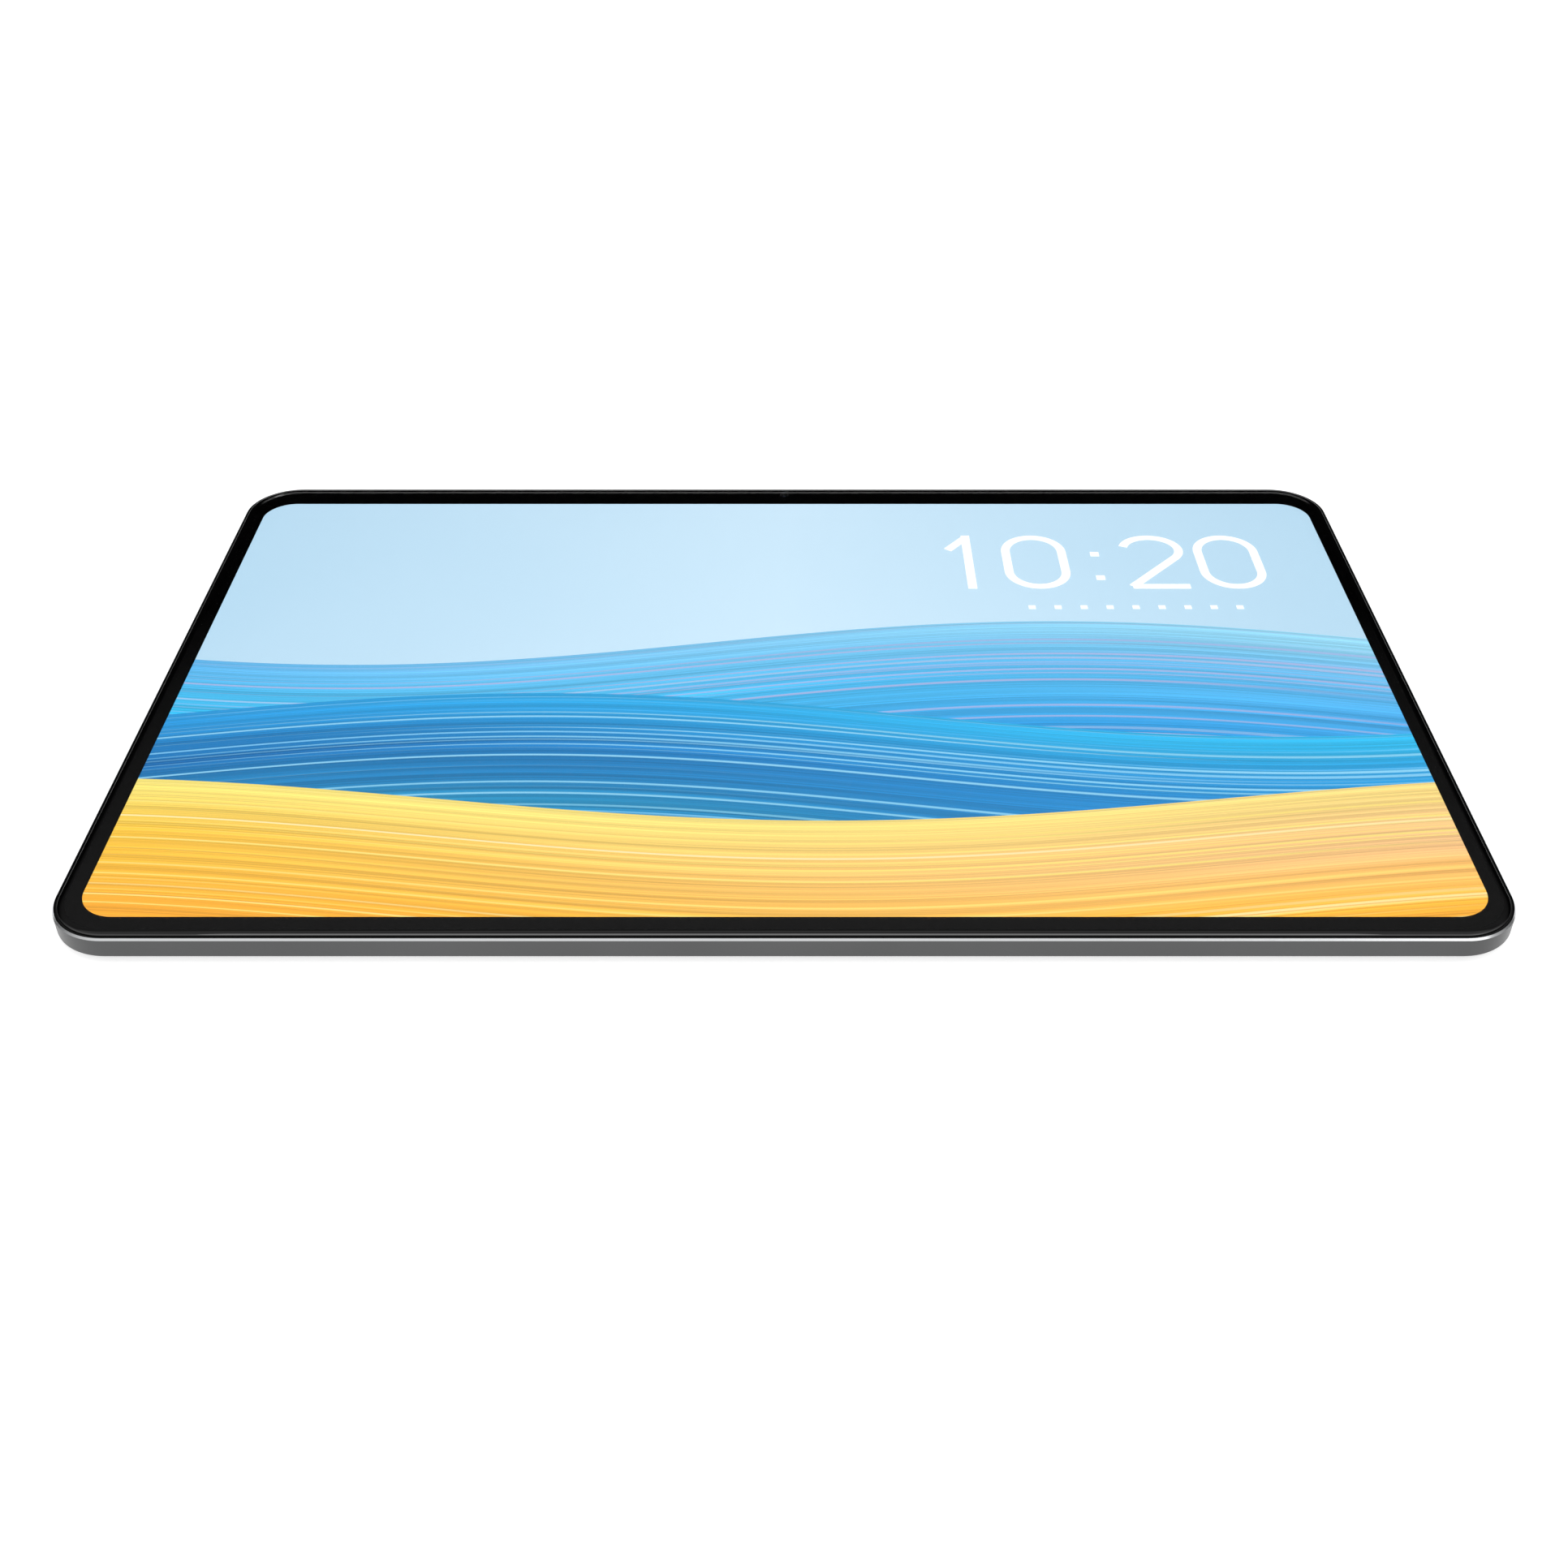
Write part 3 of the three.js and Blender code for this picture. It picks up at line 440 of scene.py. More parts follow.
def sky_light():
    paint = Paint("picture_sky", (0.0, 0.0, 0.0), 0.4)
    across = paint.node("SeparateXYZ", Vector=paint.place).outputs["X"]
    centred = paint.maths("ABSOLUTE", across)
    even = paint.spread(centred, 0.0, 1.0, (0.0, DISPLAY_HALF.x))
    soft = paint.blend(0.25, even, paint.noise(14, 2.0))
    colour = paint.ramp(soft, [(0.1, SKY_CENTRE), (0.9, SKY_SIDE)])
    return glowing(paint, colour, SCREEN_GAIN)


def evenly(colours):
    """Ramp stops for colours at equal steps."""
    return [(i / (len(colours) - 1), colour) for i, colour in enumerate(colours)]


def strand_light(name, begin, end, accents, strands):
    """Light of a ribbon of fine strands. It runs from the colours of begin to those of end, each
    listed across the ribbon, and accents show as odd strands."""
    paint = Paint(name, (0.0, 0.0, 0.0), 0.4)
    uv = paint.tree.nodes.new("ShaderNodeUVMap")
    uv.uv_map = "ribbon"
    axes = paint.node("SeparateXYZ", Vector=uv.outputs[0])
    along, across = axes.outputs["X"], axes.outputs["Y"]
    sway = paint.noise(1.0, 1.0, paint.scaled((0.8, strands / 14, 1.0), uv.outputs[0]))
    across = paint.maths("ADD", across, paint.spread(sway, -0.08, 0.08))
    colour = paint.blend(along, paint.ramp(across, evenly(begin)), paint.ramp(across, evenly(end)))
    flow = paint.scaled((0.7, strands, 1.0), uv.outputs[0])
    thick, thin = paint.noise(0.5, 0.0, flow), paint.noise(2.4, 1.0, flow)
    light = paint.maths(
        "MULTIPLY", paint.spread(thick, 0.86, 1.08), paint.spread(thin, 0.80, 1.18)
    )
    lit = paint.node("VectorMath", Vector=colour)
    lit.operation = "SCALE"
    paint.feed(lit.inputs["Scale"], light)
    odd = paint.noise(1.1, 0.0, paint.scaled((0.5, strands, 3.0), uv.outputs[0]))
    accent = paint.ramp(paint.noise(0.4, 0.0, flow), evenly(accents))
    colour = paint.blend(paint.spread(odd, 0.0, 0.75, (0.60, 0.68)), lit.outputs[0], accent)
    return glowing(paint, colour, SCREEN_GAIN)


def digit_light():
    paint = Paint("picture_digits", (0.0, 0.0, 0.0), 0.4)
    colour = paint.ramp(paint.noise(300), [(0.3, linear(250, 253, 255)), (0.7, WHITE)])
    return glowing(paint, colour, DIGIT_GAIN)


# ------------------------------------------------------------------ mesh helpers

def rounded_loop(half_x, half_y, radius, steps=CORNER_STEPS, centre=(0.0, 0.0)):
    """A rectangle with round corners as (x, y) points, anticlockwise."""
    points = []
    for quarter, (sx, sy) in enumerate([(1, 1), (-1, 1), (-1, -1), (1, -1)]):
        for i in range(steps + 1):
            angle = (quarter + i / steps) * math.pi / 2
            x = centre[0] + sx * (half_x - radius) + radius * math.cos(angle)
            y = centre[1] + sy * (half_y - radius) + radius * math.sin(angle)
            points.append((x, y))
    return [p for i, p in enumerate(points) if math.dist(p, points[i - 1]) > 1e-9]


def body_loop(inset, z):
    loop = rounded_loop(HALF_X - inset, HALF_Y - inset, CORNER_RADIUS - inset)
    return [(x, y, z) for x, y in loop]


def add_loft(bm, loops, closed=False, material=0):
    """Joins equal loops by bands of quads, and caps both ends unless closed."""
    rows = [[bm.verts.new(p) for p in loop] for loop in loops]
    count = len(rows[0])
    pairs = list(zip(rows, rows[1:] + ([rows[0]] if closed else [])))
    made = []
    for low, high in pairs:
        band = []
        for i in range(count):
            j = (i + 1) % count
            band.append(bm.faces.new((low[i], low[j], high[j], high[i])))
        made.append(band)
    if not closed:
        made.append([bm.faces.new(rows[0][::-1]), bm.faces.new(rows[-1])])
    for band in made:
        for face in band:
            face.material_index = material
    return made


def arc(centre, radii, start, end, steps):
    """Points of part of an ellipse, angles in degrees."""
    points = []
    for i in range(steps + 1):
        angle = math.radians(start + (end - start) * i / steps)
        points.append((centre[0] + radii[0] * math.cos(angle), centre[1] + radii[1] * math.sin(angle)))
    return points


def quadratic(start, control, end, steps):
    points = []
    for i in range(steps + 1):
        t = i / steps
        a, b, c = (1 - t) ** 2, 2 * t * (1 - t), t * t
        points.append(tuple(a * p + b * q + c * r for p, q, r in zip(start, control, end)))
    return points


def make_piece(name, bm, materials, body="body", sharp=32, normals=True):
    """Turns a bmesh into a shaded piece that rides on a body."""
    mesh = bpy.data.meshes.new(name)
    bm.to_mesh(mesh)
    bm.free()
    piece = bpy.data.objects.new(name, mesh)
    bpy.context.scene.collection.objects.link(piece)
    for paint in materials:
        mesh.materials.append(paint.material)
    shade(piece, sharp, normals)
    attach(piece, body)
    return piece


def shade(piece, sharp, normals=True):
    piece.data.shade_smooth()
    piece.data.set_sharp_from_angle(angle=math.radians(sharp))
    if normals:
        even = piece.modifiers.new("even_normals", "WEIGHTED_NORMAL")
        even.keep_sharp = True


def apply_modifiers(piece):
    graph = bpy.context.evaluated_depsgraph_get()
    mesh = bpy.data.meshes.new_from_object(piece.evaluated_get(graph))
    piece.modifiers.clear()
    piece.data = mesh


def cut_piece(piece, cutter_bm):
    """Cuts a bmesh out of a piece."""
    bmesh.ops.recalc_face_normals(cutter_bm, faces=cutter_bm.faces)
    mesh = bpy.data.meshes.new("cutter")
    cutter_bm.to_mesh(mesh)
    cutter_bm.free()
    cutter = bpy.data.objects.new("cutter", mesh)
    bpy.context.scene.collection.objects.link(cutter)
    boolean = piece.modifiers.new("cut", "BOOLEAN")
    boolean.operation = "DIFFERENCE"
    boolean.solver = "EXACT"
    boolean.object = cutter
    apply_modifiers(piece)
    bpy.data.objects.remove(cutter)


# ------------------------------------------------------------------ housing

CHAMFER = 0.35
WALL_FOOT_Z = 2.15
WALL_FOOT_RADIUS = 0.5
WALL_FOOT_ANGLE = 60
BACK_INSET = 6.6
LIP_INSET = 0.45
LEDGE_Z = 4.7
WALL = 1.2
WALL_INNER_FOOT_Z = 2.5
FLOOR_CURVE_INSET = 4.2
FLOOR_INSET = 8.3
FLOOR_Z = 0.7
OPENING_BEVEL = 0.12


def housing_profile():
    """(inset, z) points in mm from the flat back, round the outside and down the inside."""
    foot = math.radians(WALL_FOOT_ANGLE)
    foot_inset = WALL_FOOT_RADIUS * (1 - math.cos(foot))
    foot_z = WALL_FOOT_Z - WALL_FOOT_RADIUS * math.sin(foot)
    knee = (foot_inset + foot_z * math.tan(foot), 0)
    rim = RIM_Z / MM
    outside = quadratic((BACK_INSET, 0), knee, (foot_inset, foot_z), 14)
    outside += arc(
        (WALL_FOOT_RADIUS, WALL_FOOT_Z), (WALL_FOOT_RADIUS,) * 2, 180 + WALL_FOOT_ANGLE, 180, 6
    )[1:]
    top = [(0, rim - CHAMFER), (CHAMFER, rim), (LIP_INSET, rim)]
    inside = [(LIP_INSET, LEDGE_Z), (WALL, LEDGE_Z)]
    inside += quadratic(
        (WALL, WALL_INNER_FOOT_Z), (FLOOR_CURVE_INSET, FLOOR_Z), (FLOOR_INSET, FLOOR_Z), 8
    )
    return outside + top + inside


def on_wall(side, along, z, depth):
    """A point on or below a wall's outer face, in metres."""
    if side == "top":
        return along, HALF_Y - depth, z
    sign = -1 if side == "left" else 1
    return sign * (HALF_X - depth), along, z


def add_wall_cut(bm, side, centre, size, depth=1.9, bevel=OPENING_BEVEL):
    """A slot with round ends through a wall, with a small bevel at its mouth."""
    length, height = size
    loops = []
    for at, grow in [(-2.0, bevel), (0.0, bevel), (bevel, 0.0), (depth, 0.0)]:
        half = Vector((length, height)) / 2 + Vector((grow, grow)) * MM
        loop = rounded_loop(half.x, half.y, half.y, 8, centre)
        loops.append([on_wall(side, a, z, at * MM) for a, z in loop])
    add_loft(bm, loops)


def add_hole_cut(bm, centre, radius, low, high, steps=12):
    loop = rounded_loop(radius, radius, radius, steps, centre)
    add_loft(bm, [[(x, y, z) for x, y in loop] for z in (low, high)])


def wall_slot(node, side, grow):
    """Centre and size of a node's face in a wall, with clearance."""
    low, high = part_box(node)
    a = 0 if side == "top" else 1
    centre = ((low[a] + high[a]) / 2, (low.z + high.z) / 2)
    size = (high[a] - low[a] + 2 * grow, high.z - low.z + 2 * grow)
    return centre, size


KEY_GRIP = 1.0 * MM
KEY_FLANGE_RISE = 0.15 * MM
KEY_CLEARANCE = 0.15 * MM
SPEAKER_SLOTS = 7
SPEAKER_PITCH = 4.2 * MM
SPEAKER_SLOT = (3.0 * MM, 1.2 * MM)


def housing_cuts():
    bm = bmesh.new()
    add_wall_cut(bm, "right", *wall_slot("usb_c_shell", "right", 0.1 * MM), depth=12)
    for node, side in [("power_button", "left"), ("volume_rocker", "top")]:
        (along, z), (length, height) = wall_slot(node, side, KEY_CLEARANCE)
        size = (length - 2 * KEY_GRIP, height - 2 * KEY_FLANGE_RISE)
        add_wall_cut(bm, side, (along, z), size)
    add_wall_cut(bm, "top", *wall_slot("card_tray", "top", KEY_CLEARANCE))
    for side in ("left", "right"):
        for end in ("near", "far"):
            (along, z), _ = wall_slot(f"speaker_mesh_{side}_{end}", side, 0)
            for i in range(SPEAKER_SLOTS):
                shift = (i - (SPEAKER_SLOTS - 1) / 2) * SPEAKER_PITCH
                add_wall_cut(bm, side, (along + shift, z), SPEAKER_SLOT)
    for side in ("left", "right"):
        (along, z), _ = wall_slot(f"microphone_{side}", "top", 0)
        add_wall_cut(bm, "top", (along, z + 0.1 * MM), (1.0 * MM, 0.999 * MM))
    low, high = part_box("rear_camera_ring")
    centre = (low + high) / 2
    add_hole_cut(bm, centre[:2], (high.x - low.x) / 2 + 0.1 * MM, -1 * MM, 1.5 * MM, 16)
    low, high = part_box("flash_lens")
    centre = (low + high) / 2
    add_hole_cut(bm, centre[:2], (high.x - low.x) / 2 + 0.1 * MM, -1 * MM, 1.5 * MM)
    low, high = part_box("antenna_window")
    centre, half = (low + high) / 2, (high - low) / 2 + Vector((0.1, 0.1, 0)) * MM
    loop = rounded_loop(half.x, half.y, half.y, 12, centre[:2])
    add_loft(bm, [[(x, y, z) for x, y in loop] for z in (-1 * MM, 1.5 * MM)])
    return bm


def build_housing(metal, edge):
    bm = bmesh.new()
    profile = housing_profile()
    bands = add_loft(bm, [body_loop(inset * MM, z * MM) for inset, z in profile])
    for (_, low), (inset, high), band in zip(profile, profile[1:], bands):
        if abs(inset - CHAMFER) < 1e-6 and high > low:
            for face in band:
                face.material_index = 1
    piece = make_piece("housing_shell", bm, [metal, edge], normals=False)
    cut_piece(piece, housing_cuts())
    shade(piece, 28)
    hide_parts("rear_housing")


# ------------------------------------------------------------------ glass, print and screen

GLASS_INSET = 0.95
GLASS_FOOT = 0.1
GLASS_EDGE_Z = 6.05
GLASS_EDGE_WIDTH = 1.4
GLASS_SEAM = 0.004
INK_INSET = 1.3
INK_Z = (5.778, 5.788)
CAMERA_APERTURE = 1.15


def build_glass(glass, backed):
    """The flat sheet of clear glass, and its rounded edge over black print."""
    bottom, top = GLASS_LOW.z / MM, GLASS_HIGH.z / MM
    seam = GLASS_INSET + GLASS_EDGE_WIDTH
    bm = bmesh.new()
    add_loft(bm, [body_loop((seam + GLASS_SEAM) * MM, z * MM) for z in (bottom, top)])
    sheet = make_piece("glass_sheet", bm, [glass], sharp=40)
    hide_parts("cover_glass")
    profile = [(seam, bottom), (GLASS_INSET + GLASS_FOOT, bottom), (GLASS_INSET, bottom + GLASS_FOOT)]
    profile += arc((seam, GLASS_EDGE_Z), (GLASS_EDGE_WIDTH, top - GLASS_EDGE_Z), 180, 90, 16)
    bm = bmesh.new()
    add_loft(bm, [body_loop(inset * MM, z * MM) for inset, z in profile], closed=True)
    make_piece("glass_edge", bm, [backed], sharp=40)


def screen_loop(z, grow=0.0):
    loop = rounded_loop(
        DISPLAY_HALF.x + grow, DISPLAY_HALF.y + grow, DISPLAY_CORNER + grow,
        centre=DISPLAY_CENTRE,
    )
    return [(x, y, z) for x, y in loop]


def camera_centre():
    low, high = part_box("front_camera_module")
    return (low + high) / 2


def build_border(ink):
    """The black print under the glass, with a window for the front camera."""
    low, high = (z * MM for z in INK_Z)
    bm = bmesh.new()
    outer = [body_loop(INK_INSET * MM, z) for z in (low, high)]
    inner = [screen_loop(z) for z in (high, low)]
    add_loft(bm, outer + inner, closed=True)
    piece = make_piece("border_print", bm, [ink], normals=False)
    hole = bmesh.new()
    place = camera_centre()
    add_hole_cut(hole, place[:2], CAMERA_APERTURE * MM, low - MM, high + MM)
    cut_piece(piece, hole)
    shade(piece, 30)


# ------------------------------------------------------------------ picture on the screen

def smooth_path(points, steps):
    """A Catmull-Rom curve through points."""
    points = [Vector(p) for p in points]
    ends = [2 * points[0] - points[1], *points, 2 * points[-1] - points[-2]]
    curve = []
    spans = len(points) - 1
    for i in range(steps + 1):
        at = spans * i / steps
        k = min(int(at), spans - 1)
        t = at - k
        a, b, c, d = ends[k:k + 4]
        curve.append(0.5 * (2 * b + (c - a) * t + (2 * a - 5 * b + 4 * c - d) * t * t
                            + (3 * b - a - 3 * c + d) * t ** 3))
    return curve


def screen_point(point, z):
    return point[0] * MM + DISPLAY_CENTRE.x, point[1] * MM + DISPLAY_CENTRE.y, z


def add_ribbon(bm, first_edge, second_edge, layer, material, steps=72, lanes=10):
    """A flat ribbon between two edge curves. Its UV map runs along it and across it."""
    uv = bm.loops.layers.uv.verify()
    edges = smooth_path(first_edge, steps), smooth_path(second_edge, steps)
    z = PICTURE_Z + layer * LAYER
    grid = []
    for a, b in zip(*edges):
        grid.append([bm.verts.new(screen_point(a.lerp(b, k / lanes), z)) for k in range(lanes + 1)])
    for i in range(steps):
        for k in range(lanes):
            corners = [(i, k), (i + 1, k), (i + 1, k + 1), (i, k + 1)]
            face = bm.faces.new([grid[r][c] for r, c in corners])
            face.material_index = material
            for loop, (r, c) in zip(face.loops, corners):
                loop[uv].uv = (r / steps, c / lanes)


def trim_to_screen(bm):
    """Cuts away what lies beyond the screen's edges, under the black print."""
    for axis in (0, 1):
        for sign in (-1, 1):
            normal = Vector((0, 0, 0))
            normal[axis] = sign
            at = normal * (DISPLAY_HALF[axis] + 0.5 * MM + sign * DISPLAY_CENTRE[axis])
            geometry = [*bm.verts, *bm.edges, *bm.faces]
            bmesh.ops.bisect_plane(bm, geom=geometry, plane_co=at, plane_no=normal, clear_outer=True)


def wave_styles():
    """The waves' colours, from behind to in front."""
    return [
        strand_light("wave_far", [SKY_BLUE, CYAN, BLUE, TEAL], [ICE, SKY_BLUE, BLUE, BLUE],
                     [ICE, LILAC, CYAN], 60),
        strand_light("wave_middle", [BLUE, DEEP_BLUE, TEAL, BLUE], [CYAN, BLUE, DEEP_BLUE, DEEP_BLUE],
                     [SKY_BLUE, ICE, TEAL], 60),
        strand_light("wave_near", [LEMON, GOLD, AMBER, ORANGE], [CREAM, PEACH, AMBER, ORANGE],
                     [WHITE, LEMON, PEACH], 60),
    ]


# each wave: its middle height, swing, phase in degrees and width
WAVES = [(-18, 9, 20, 64), (-44, 8, 150, 60), (-68, 7, 260, 50)]
WAVE_TURN = 1.15


def wave_edge(level, swing, phase):
    """One edge of a plain sine wave across the whole screen."""
    points = []
    for x in range(-144, 145, 18):
        points.append((x, level + swing * math.sin(math.radians(x * WAVE_TURN + phase))))
    return points


def build_picture():
    """Three plain waves on a pale sky."""
    bm = bmesh.new()
    bm.loops.layers.uv.new("ribbon")
    sky = [bm.verts.new(p) for p in screen_loop(PICTURE_Z, 0.5 * MM)]
    bm.faces.new(sky)
    ribbons = bmesh.new()
    ribbons.loops.layers.uv.new("ribbon")
    for layer, (level, swing, phase, width) in enumerate(WAVES, start=1):
        upper = wave_edge(level + width / 2, swing, phase)
        lower = wave_edge(level - width / 2, swing, phase)
        add_ribbon(ribbons, upper, lower, layer, layer)
    trim_to_screen(ribbons)
    mesh = bpy.data.meshes.new("ribbons")
    ribbons.to_mesh(mesh)
    ribbons.free()
    bm.from_mesh(mesh)
    bpy.data.meshes.remove(mesh)
    styles = [sky_light(), *wave_styles()]
    make_piece("screen_picture", bm, styles, normals=False)


CLOCK_HEIGHT = 25.0
CLOCK_FOOT = 37.2
CLOCK_STROKE = 2.1
CLOCK_DIGITS = [("1", 36.0), ("0", 52.0), (":", 73.4), ("2", 80.5), ("0", 98.5)]
DOT_ROW = (56.0, 29.0)
DOT_STEP = 6.0
DOT_COUNT = 9
DOT_SIZE = 1.6


def add_stroke(bm, points, width, z, closed=False):
    """A flat line of even width through points, in screen millimetres."""
    points = [Vector(p) for p in points]
    count = len(points)
    pairs = []
    for i, point in enumerate(points):
        before = points[i - 1] if closed or i else point
        after = points[(i + 1) % count] if closed or i < count - 1 else point
        way = (after - before).normalized()
        side = Vector((-way.y, way.x)) * width / 2
        pairs.append([bm.verts.new(screen_point(point + s, z)) for s in (side, -side)])
    spans = count if closed else count - 1
    for i in range(spans):
        a, b = pairs[i], pairs[(i + 1) % count]
        bm.faces.new((a[1], b[1], b[0], a[0]))


def digit_strokes(digit, half_x, height, half):
    """Centre lines of a plain 0, 1 or 2 round x = 0, each with whether it is closed."""
    top = height - half
    if digit == "0":
        return [(rounded_loop(half_x, height / 2 - half, half_x, 14, (0, height / 2)), True)]
    if digit == "1":
        return [([(0, 0), (0, height)], False), ([(-half_x * 0.7, height * 0.72), (0, top)], False)]
    hook = arc((0, height * 0.72), (half_x, height * 0.28 - half), 165, -35, 20)
    return [(hook + [(-half_x, half)], False), ([(-half_x, half), (half_x, half)], False)]


def add_digit(bm, digit, left, foot, height, width, z, aspect=0.27):
    half_x = height * aspect
    if digit == ":":
        for level in (0.2, 0.64):
            start = Vector((left, foot + height * level))
            add_stroke(bm, [start, start + Vector((width, 0))], width, z)
        return
    middle = Vector((left + half_x + width / 2, foot))
    for points, closed in digit_strokes(digit, half_x, height, width / 2):
        add_stroke(bm, [middle + Vector(p) for p in points], width, z, closed)


def build_clock():
    """A plain clock over a row of dots."""
    bm = bmesh.new()
    z = PICTURE_Z + 8 * LAYER
    for digit, left in CLOCK_DIGITS:
        add_digit(bm, digit, left, CLOCK_FOOT, CLOCK_HEIGHT, CLOCK_STROKE, z)
    for index in range(DOT_COUNT):
        start = Vector(DOT_ROW) + Vector((index * DOT_STEP, 0))
        add_stroke(bm, [start, start + Vector((DOT_SIZE, 0))], DOT_SIZE, z)
    make_piece("screen_clock", bm, [digit_light()], normals=False)


# ------------------------------------------------------------------ cameras and socket

def add_revolve(bm, centre, profile, steps=64, materials=None):
    """Turns (radius, z) points, in metres, round a vertical axis and caps both ends."""
    loops = []
    for radius, z in profile:
        ring = arc(centre, (radius, radius), 0, 360, steps)[:-1]
        loops.append([(x, y, z) for x, y in ring])
    if profile[0][0] < 1e-6:
        raise ValueError("a profile starts away from its axis")
    bands = add_loft(bm, loops)
    for band, material in zip(bands, materials or []):
        for face in band:
            face.material_index = material
    for face in bands[-1]:
        face.material_index = (materials or [0])[-1]
    bmesh.ops.recalc_face_normals(bm, faces=bm.faces)


def add_block(bm, low, high, bevel):
    """A box with bevelled edges."""
    shape = bmesh.ops.create_cube(bm, size=1.0)
    size, middle = high - low, (high + low) / 2
    for vert in shape["verts"]:
        vert.co = Vector(a * b for a, b in zip(vert.co, size)) + middle
    edges = {edge for vert in shape["verts"] for edge in vert.link_edges}
    bmesh.ops.bevel(bm, geom=list(edges), offset=bevel, segments=3, profile=0.5, affect="EDGES")


def build_camera(name, node, barrel, mouth, shoulder, facing, paints):
    """A camera module: a block, a barrel and a stepped well with a coated lens in it."""
    low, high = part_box(node)
    centre = ((low + high) / 2)[:2]
    front, back = (high.z, low.z) if facing > 0 else (low.z, high.z)
    depth = abs(front - shoulder)
    bm = bmesh.new()
    ends = sorted((back, shoulder))
    add_block(bm, Vector((low.x, low.y, ends[0])), Vector((high.x, high.y, ends[1])), 0.15 * MM)
    steps = [
        (barrel, 1.0), (barrel, 0.06), (barrel * 0.97, 0.0), (mouth, 0.0),
        (mouth * 0.93, 0.10), (mouth * 0.93, 0.2), (mouth * 0.82, 0.2), (mouth * 0.76, 0.45),
        (mouth * 0.70, 0.45), (mouth * 0.66, 0.7),
    ]
    dome = [(mouth * 0.66 * math.cos(a), 0.7 - 0.45 * math.sin(a))
            for a in (math.radians(8 * k) for k in range(1, 11))]
    profile = [(radius, front - facing * depth * share) for radius, share in steps + dome]
    add_revolve(bm, centre, profile, materials=[0] * len(steps[1:]) + [1] * len(dome))
    piece = make_piece(name, bm, paints, sharp=35)
    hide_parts(node)


def build_rear_window(glass, ink):
    low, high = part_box("rear_camera_window")
    centre, radius = ((low + high) / 2)[:2], (high.x - low.x) / 2
    bevel = 0.1 * MM
    bm = bmesh.new()
    add_revolve(bm, centre, [
        (radius - bevel, low.z), (radius, low.z + bevel), (radius, high.z - bevel / 2),
        (radius - bevel / 2, high.z),
    ], 96)
    piece = make_piece("rear_window_glass", bm, [glass], sharp=50)
    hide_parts("rear_camera_window")
    bm = bmesh.new()
    loops = []
    for ring, z in [(0.97, 0.02), (0.97, 0.05), (0.56, 0.05), (0.56, 0.02)]:
        circle = arc(centre, (radius * ring, radius * ring), 0, 360, 96)[:-1]
        loops.append([(x, y, high.z + z * MM) for x, y in circle])
    add_loft(bm, loops, closed=True)
    bmesh.ops.recalc_face_normals(bm, faces=bm.faces)
    make_piece("rear_window_print", bm, [ink], sharp=40)


def build_camera_ring(metal, edge):
    """A turned ring with polished bevels inside and outside."""
    low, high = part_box("rear_camera_ring")
    centre, outer = ((low + high) / 2)[:2], (high.x - low.x) / 2
    window_low, window_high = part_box("rear_camera_window")
    inner = (window_high.x - window_low.x) / 2 + 0.05 * MM
    bevel, turn = 0.14 * MM, 0.28 * MM
    profile = [
        (inner, high.z), (outer, high.z), (outer, low.z + bevel), (outer - bevel, low.z),
        (inner + turn, low.z), (inner, low.z + turn * 0.6),
    ]
    loops = []
    for radius, z in profile:
        circle = arc(centre, (radius, radius), 0, 360, 96)[:-1]
        loops.append([(x, y, z) for x, y in circle])
    bm = bmesh.new()
    bands = add_loft(bm, loops, closed=True)
    for band in (bands[2], bands[4]):
        for face in band:
            face.material_index = 1
    bmesh.ops.recalc_face_normals(bm, faces=bm.faces)
    piece = make_piece("rear_camera_bezel", bm, [metal, edge], sharp=25)
    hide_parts("rear_camera_ring")


CONTACTS = 12
CONTACT_PITCH = 0.5 * MM
CONTACT_SIZE = Vector((3.8, 0.26, 0.012)) * MM
BLADE_HALF = 0.35 * MM


def build_contacts():
    """Gilt contacts on both faces of the socket's blade."""
    low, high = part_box("usb_c_tongue")
    z = (low.z + high.z) / 2
    bm = bmesh.new()
    for side in (-1, 1):
        for i in range(CONTACTS):
            y = (i - (CONTACTS - 1) / 2) * CONTACT_PITCH
            near = high.x - (0.35 if i % 3 else 0.15) * MM
            centre = Vector((near - CONTACT_SIZE.x / 2, y, z + side * (BLADE_HALF + CONTACT_SIZE.z / 2)))
            add_block(bm, centre - CONTACT_SIZE / 2, centre + CONTACT_SIZE / 2, 0.003 * MM)
    make_piece("socket_contacts", bm, [gilt_contact()], sharp=40)


# ------------------------------------------------------------------ CAD nodes

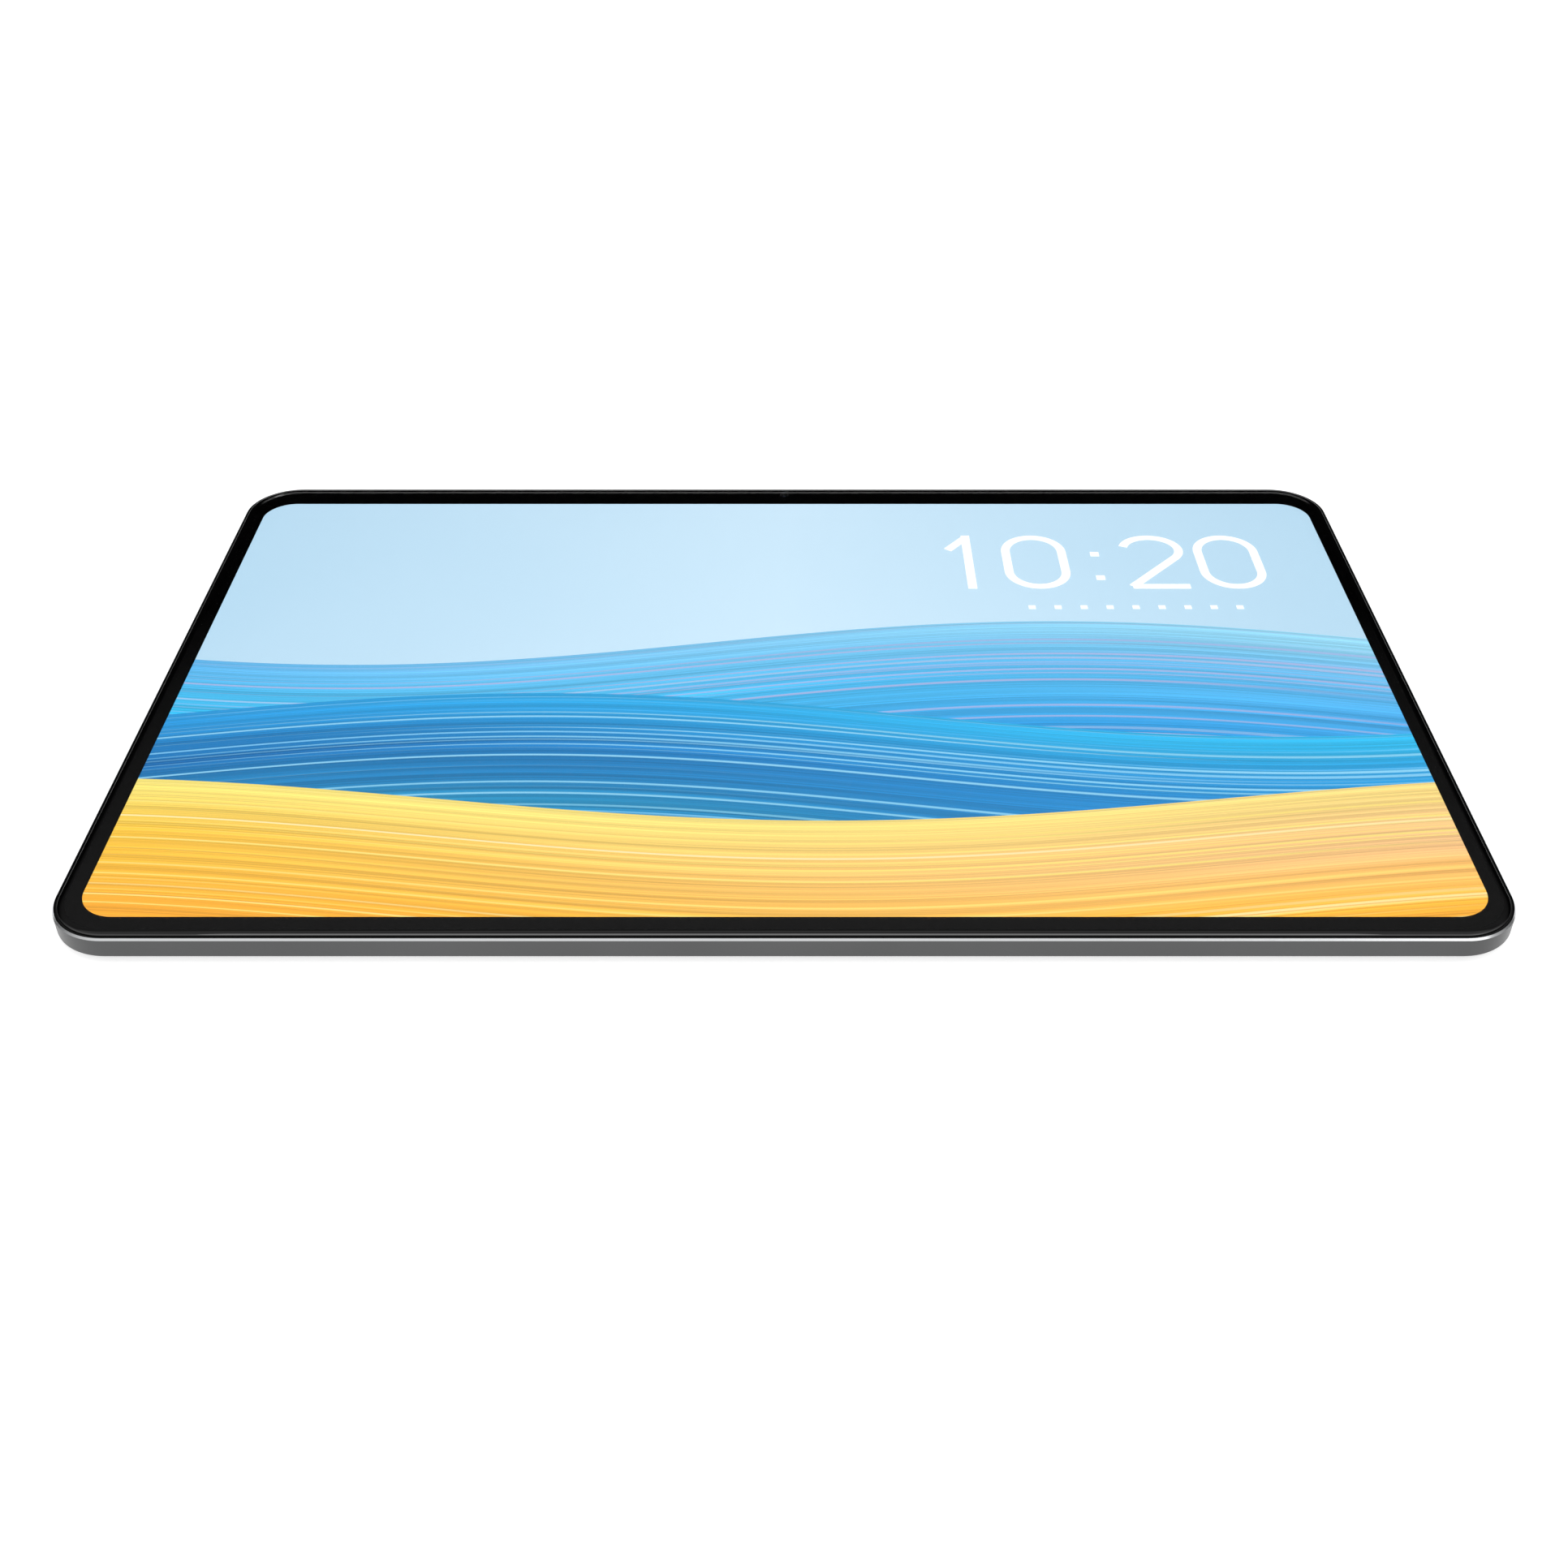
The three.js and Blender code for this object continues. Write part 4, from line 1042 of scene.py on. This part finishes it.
def dress(node, paint, bevel=None, sharp=32):
    """Gives a CAD node its material, even shading and, where asked, softened edges."""
    piece = frame["nodes"][node]
    piece.data.materials.clear()
    piece.data.materials.append(paint.material)
    weld = piece.modifiers.new("weld", "WELD")
    weld.merge_threshold = 0.0005 * MM
    if bevel:
        soft = piece.modifiers.new("soft_edges", "BEVEL")
        soft.width = bevel * MM
        soft.segments = 3
        soft.limit_method = "ANGLE"
        soft.angle_limit = math.radians(35)
        soft.harden_normals = False
    shade(piece, sharp)


def slot_of(node):
    for row in frame["record"]["subparts"]:
        if row["node"] == node:
            return row["material_slot"]
    raise KeyError(node)


def dress_nodes():
    metal = anodised()
    black = moulded_black()
    steel = stamped_steel()
    paints = {
        "housing_aluminium": metal,
        "cover_glass": black,
        "black_plastic": black,
        "black_tape": moulded_black("foam_tape", 0.012, 0.85),
        "display_cell": moulded_black("panel_glass", 0.01, 0.2),
        "backlight": white_film(),
        "sheet_steel": steel,
        "screw_steel": stamped_steel("screw_steel", (0.16, 0.16, 0.165)),
        "socket_steel": stamped_steel("socket_steel", (0.42, 0.42, 0.43)),
        "circuit_board": circuit_board(),
        "flex_circuit": flex_circuit(),
        "battery_pouch": pouch_foil(),
        "speaker_plastic": moulded_black("speaker_plastic", 0.01, 0.6),
        "speaker_mesh": woven_mesh(),
        "antenna_plastic": moulded_black("antenna_plastic", 0.07, 0.42),
        "camera_module": moulded_black("camera_module", 0.004, 0.4),
        "camera_ring": metal,
        "camera_window": black,
        "flash_lens": flash_cover(),
    }
    softened = {"power_button": 0.12, "volume_rocker": 0.12}
    for node in frame["nodes"]:
        dress(node, paints[slot_of(node)], softened.get(node))
    return paints


bpy.context.scene.view_settings.view_transform = "Standard"
add_camera()
add_world()
add_floor()
add_area("top_softbox", (0, -0.1, 1.5), (0, 0, 0), (1.2, 0.9), 5)
add_area("side_softbox", (0.9, -0.8, 1.1), (0, 0, 0), (0.8, 0.8), 2)
paints = dress_nodes()
metal, edge, ink, glass = paints["housing_aluminium"], polished_edge(), border_ink(), clear_glass()
build_housing(metal, edge)
build_glass(glass, backed_glass())
build_border(ink)
build_picture()
build_clock()
optics = [paints["camera_module"], lens_coating()]
build_camera("front_camera", "front_camera_module", 1.4 * MM, 1.05 * MM, 4.65 * MM, 1, optics)
build_camera("rear_camera", "rear_camera_module", 3.6 * MM, 3.1 * MM, 1.4 * MM, -1, optics)
build_rear_window(glass, ink)
build_camera_ring(metal, edge)
build_contacts()
